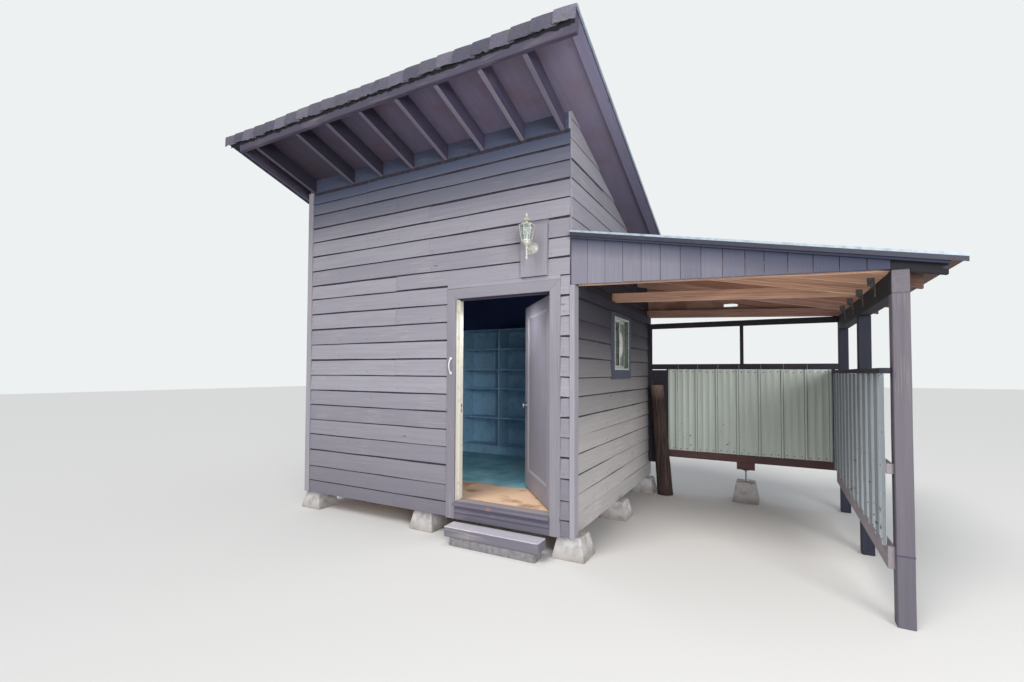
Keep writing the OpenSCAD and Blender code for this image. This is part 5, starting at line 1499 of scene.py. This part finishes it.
def ribbed(width, foot, head, place_of, along):
    """A thin sheet swept up from the rib line, in lifts so that its face can buckle slightly."""
    skin = bmesh.new()
    lifts = 14
    rows = []
    for j in range(lifts + 1):
        z = foot + (head - foot) * j / lifts
        row = []
        for x, h in rib_line(width):
            buckle = 0.0012 * wave(x * 5, z * 3, along)
            ragged = 0.002 * wave(x * 40, 3, along) if j in (0, lifts) else 0.0
            row.append(skin.verts.new(place_of(x, h + buckle, z + ragged)))
        rows.append(row)
    skin_between(skin, rows)
    outward(skin, 0.0009)
    made = worked(skin)
    start = place_of(0, 0, 0)
    across = (place_of(1, 0, 0) - start).normalized()
    out = (place_of(0, 1, 0) - start).normalized()
    # The ribs' steep narrow faces are marked for the painted shade on the flanks
    for k, face in enumerate(made["faces"]):
        spots = [made["points"][i] - start for i in face]
        rise, wide = [max(p.dot(way) for p in spots) - min(p.dot(way) for p in spots)
                      for way in (out, across)]
        made["eased"][k] = 1.0 if rise > 0.008 and wide < 0.012 else 0.0
    return made


back_place = lambda x, h, z: Vector((sheet_start - x, 2.6475 - h, z))
back_skin = ribbed(1.723, 0.531, 1.529, back_place, 1.0)
join("back_sheets_ribbed", [back_skin], green_sheet, replaces=["back_sheets"],
     smooth=True)
side_place = lambda x, h, z: Vector((2.0095 - h, 0.022 + x, z))
side_skin = ribbed(2.597, 0.461, 1.489, side_place, 2.0)
join("side_sheets_ribbed", [side_skin], grey_sheet, replaces=["side_sheets"],
     smooth=True)


def capped_screw(centre, way):
    """A hexagon-headed sheet screw on its rubber-backed washer."""
    washer = [(0.0, 0.0), (0.0075, 0.0), (0.0072, 0.0014), (0.005, 0.002), (0.0, 0.002)]
    return [turned(washer, centre, way, sides=16),
            round_bar(Vector(centre) + Vector(way) * 0.0015, way, 0.0042, 0.0035, sides=6, arris=0.0004)]


sheet_screws = []
for x in [sheet_start - (k * rib_gap + off) for k in range(8) for off in (0.060, 0.132, 0.205)]:
    for z in (0.555, 1.500) if x >= 0.285 else ():
        sheet_screws += capped_screw((x, 2.6465, z + chance.uniform(-0.006, 0.006)), (0, -1, 0))
for y in [0.022 + k * rib_gap + off for k in range(11) for off in (0.060, 0.132)]:
    for z in (0.915, 1.474) if y < 2.60 else ():
        sheet_screws += capped_screw((2.0085, y, z + chance.uniform(-0.004, 0.004)), (-1, 0, 0))
rusty_screw = blotched("rusted_screw_heads", "#8d8f8b", "#6d4534", 0.02, 0.6, metal=0.4, detail=3.0)
join("sheet_screws_capped", sheet_screws, rusty_screw)

# Side rails
# Two girts on the posts' inner faces behind the sheets, bleached pinkish grey, and a flat rail on top.
# The flat rail's dark stain has worn off its arrises.
bleached_rail = stained_wood("bleached_side_rails", "#8f878c", "#a99d9b", "#736b72", 0.6)
top_rail = stained_wood("dark_top_rail", "#191826", "#6b6470", "#12111b", 0.25, edge_wear=0.5)
girt_in, girt_y0, girt_y1 = 2.012, 0.020, 2.619
side_rails = [plank((girt_in, girt_y0, z0), (post_in, girt_y1, z1), bits=0.4, wander=0.0012)
              for z0, z1 in ((0.330, 0.460), (0.890, 0.950))]
side_rails.append(in_slot(plank((1.987, girt_y0, 1.490), (post_in, girt_y1, 1.524), bits=0.3,
                                wander=0.0014), 1))
join("side_rails_sawn", side_rails, [bleached_rail, top_rail], replaces=["side_rails"])

# Log
# A leaning stub of trunk: red-brown where the bark has peeled, with long ridges of bark left low down,
# drying cracks up its length and a paler, weathered top.
trunk_bark = new_finish("peeled_trunk_wood")
place = add(trunk_bark, "TexCoord").outputs["Object"]
height = add(trunk_bark, "SeparateXYZ", {"Vector": place}).outputs["Z"]
ridges = pattern(trunk_bark, place, (0.022, 0.022, 0.30), Detail=6.0)
cracks = pattern(trunk_bark, place, (0.010, 0.010, 0.45), Detail=3.0)
bark = tinted(trunk_bark, "#231a1b", ridges, 0.38, 0.6, "#45322b")
bark = tinted(trunk_bark, bark, height, 1.15, 1.34, "#8a776b", 0.6)
bark = tinted(trunk_bark, bark, cracks, 0.60, 0.66, "#2b1f1d", 0.8)
dress(trunk_bark, bark, 0.88, ridges, 0.7, 0.006)
log_tall = 1.335


def trunk_at(share):
    """The log's middle and radius at a share of its height: it leans, and thins upwards."""
    return Vector((0.243 - 0.095 * share, 2.519, log_tall * share)), 0.100 * (1 - 0.17 * share)


trunk = bmesh.new()
around, lifts = 48, 40
rings = []
for share in [j / lifts for j in range(lifts + 1)]:
    middle, radius = trunk_at(share)
    ring = []
    for turn in [2 * math.pi * k / around for k in range(around)]:
        ridge = 0.010 * abs(wave(turn * 2.6, share * 2.2, 1))
        ridge += 0.005 * wave(math.cos(turn) * 5, math.sin(turn) * 5, share * 7)
        ring.append(trunk.verts.new(middle + round_way(turn) * (radius - 0.006 - max(0.0, ridge))))
    rings.append(ring)
skin_between(trunk, rings, closed=True)
trunk.faces.new(list(reversed(rings[0])))
bmesh.ops.inset_region(trunk, faces=[trunk.faces.new(rings[-1])], thickness=0.012, depth=0.003)
outward(trunk)
log = [worked(trunk)]
for turn, low, high, wide in ((-1.2, 0.05, 0.62, 0.030), (-0.35, 0.02, 0.40, 0.026),
                              (-2.2, 0.10, 0.55, 0.022), (0.6, 0.03, 0.50, 0.028), (2.6, 0.04, 0.7, 0.026)):
    flake = bmesh.new()
    strip = []
    for j in range(11):
        middle, radius = trunk_at((low + (high - low) * j / 10) / log_tall)
        radius -= 0.0035
        spread = wide * math.sin(math.pi * (j + 0.6) / 11.2) / radius
        bent = turn + 0.06 * wave(j * 0.7, turn)
        strip.append([flake.verts.new(middle + round_way(bent + spread * s) * (radius - 0.004 * abs(s)))
                      for s in (-1, -0.4, 0.4, 1)])
    skin_between(flake, strip)
    outward(flake, 0.003)
    log.append(worked(flake))
join("log_stub_peeled", log, trunk_bark, replaces=["log_post"], smooth=True)

# Prop rod
# A threaded steel rod between round plates, with a hexagon nut under the upper one; threaded all its length.
prop_x, prop_y, prop_foot, prop_head = 1.130, 2.669, 0.230, 0.358
prop_tall = prop_head - prop_foot
thread_pitch = 0.002
thread = [(0.0, 0.0)]
for i in range(int(prop_tall / thread_pitch)):
    thread += [(0.0071, i * thread_pitch), (0.0079, (i + 0.5) * thread_pitch)]
thread += [(0.0071, prop_tall), (0.0, prop_tall)]
rod = [turned(thread, (prop_x, prop_y, prop_foot), sides=20)]
for radius, foot in ((0.030, prop_foot), (0.038, prop_head - 0.005)):
    plate = [(0.0, 0.0), (radius - 0.0005, 0.0), (radius, 0.001), (radius, 0.0042),
             (radius - 0.001, 0.005), (0.0, 0.005)]
    rod.append(turned(plate, (prop_x, prop_y, foot)))
rod.append(round_bar((prop_x, prop_y, prop_head - 0.018), (0, 0, 1), 0.015, 0.013, sides=6, arris=0.001))
join("prop_rod_threaded", rod, dull_steel, replaces=["prop_rod"])

# Floor and light
# A plain pale floor with its shadow, a pale surround, a weak sun from the front left and a broad soft lamp
# from the front right, so that a colour shows about as it is written.
studio_floor = new_finish("plain_pale_floor")
add(studio_floor, "OutputMaterial", {"Surface": add(studio_floor, "BsdfDiffuse", {"Color": "#dcdbd8"})})
floor_mesh = bpy.data.meshes.new("studio_floor")
floor_mesh.from_pydata([(-40, -30, 0), (40, -30, 0), (40, 60, 0), (-40, 60, 0)], [], [(0, 1, 2, 3)])
floor_mesh.materials.append(studio_floor)
studio = bpy.data.objects.new("studio_floor", floor_mesh)
bpy.context.scene.collection.objects.link(studio)

surround = bpy.data.worlds.new("pale_surround")
surround.use_nodes = True
surround.node_tree.nodes.clear()
light = add(surround, "LightPath").outputs
ambient = add(surround, "Background", {"Color": "#e9eef6", "Strength": 0.66})
pale_back = add(surround, "Background", {"Color": "#eef1f2", "Strength": 1.0})
either = add(surround, "Math", {0: light["Is Camera Ray"], 1: light["Is Glossy Ray"]}, operation="MAXIMUM")
through = add(surround, "Math", {0: either, 1: light["Is Transmission Ray"]}, operation="MAXIMUM")
add(surround, "OutputWorld",
    {"Surface": add(surround, "MixShader", {0: through, 1: ambient, 2: pale_back})})
bpy.context.scene.world = surround


def lamp(name, kind, power, place, way, wide=0.0, deep=0.0):
    """A lamp at a place that shines along a way; an area lamp has its two sides."""
    lit = bpy.data.lights.new(name, kind)
    lit.energy = power
    if kind == "AREA":
        lit.shape = "RECTANGLE"
        lit.size = wide
        lit.size_y = deep
    holder = bpy.data.objects.new(name, lit)
    holder.location = place
    holder.rotation_euler = Vector(way).to_track_quat("-Z", "Y").to_euler()
    bpy.context.scene.collection.objects.link(holder)
    return holder


sun = lamp("soft_sun", "SUN", 1.7, (0, 0, 0), (0.25, 0.80, -1.05))
sun.data.angle = math.radians(28)
sun.data.color = (1.0, 0.98, 0.95)
side_place = Vector((5.8, -6.2, 3.0))
lamp("broad_side_lamp", "AREA", 520, side_place, Vector((0.6, 0.8, 0.9)) - side_place, 4.0, 3.0)

# Light thrown up by bright ground under the shelter, and thrown in through the doorway
fills = [lamp("ground_bounce", "AREA", 9.0, (1.05, 1.25, 0.03), (0, 0, 1), 1.8, 2.3),
         lamp("doorway_fill", "AREA", 5.5, (-0.86, 0.30, 2.11), (0.1, 0.12, -1), 0.3, 0.3)]
for fill in fills:
    fill.visible_camera = False
    fill.visible_glossy = False

# Camera
# Eye height by the doorway, turned left and tipped up a little, with the lens and shift of the picture.
picture_wide, picture_tall = 1024, 682
focal, centre_x, centre_y = 478.71, 513.29, 358.13
eye = Vector((1.4246, -3.5813, 1.4896))
yaw, tip, roll = math.radians(28.51), math.radians(1.656), math.radians(0.23)
look = Vector((-math.sin(yaw) * math.cos(tip), math.cos(yaw) * math.cos(tip), math.sin(tip)))
flat_right = Vector((math.cos(yaw), math.sin(yaw), 0))
flat_up = flat_right.cross(look)
right_way = flat_right * math.cos(roll) + flat_up * math.sin(roll)
up_way = flat_up * math.cos(roll) - flat_right * math.sin(roll)
lens = bpy.data.cameras.new("photo_view")
lens.sensor_fit = "HORIZONTAL"
lens.sensor_width = 36.0
lens.lens = lens.sensor_width * focal / picture_wide
lens.shift_x = (picture_wide / 2 - centre_x) / picture_wide
lens.shift_y = (centre_y - picture_tall / 2) / picture_wide
lens.clip_end = 200
camera = bpy.data.objects.new("photo_view", lens)
camera.matrix_world = Matrix.Translation(eye) @ Matrix((right_way, up_way, -look)).transposed().to_4x4()
bpy.context.scene.collection.objects.link(camera)
bpy.context.scene.camera = camera
bpy.context.scene.view_settings.view_transform = "Standard"
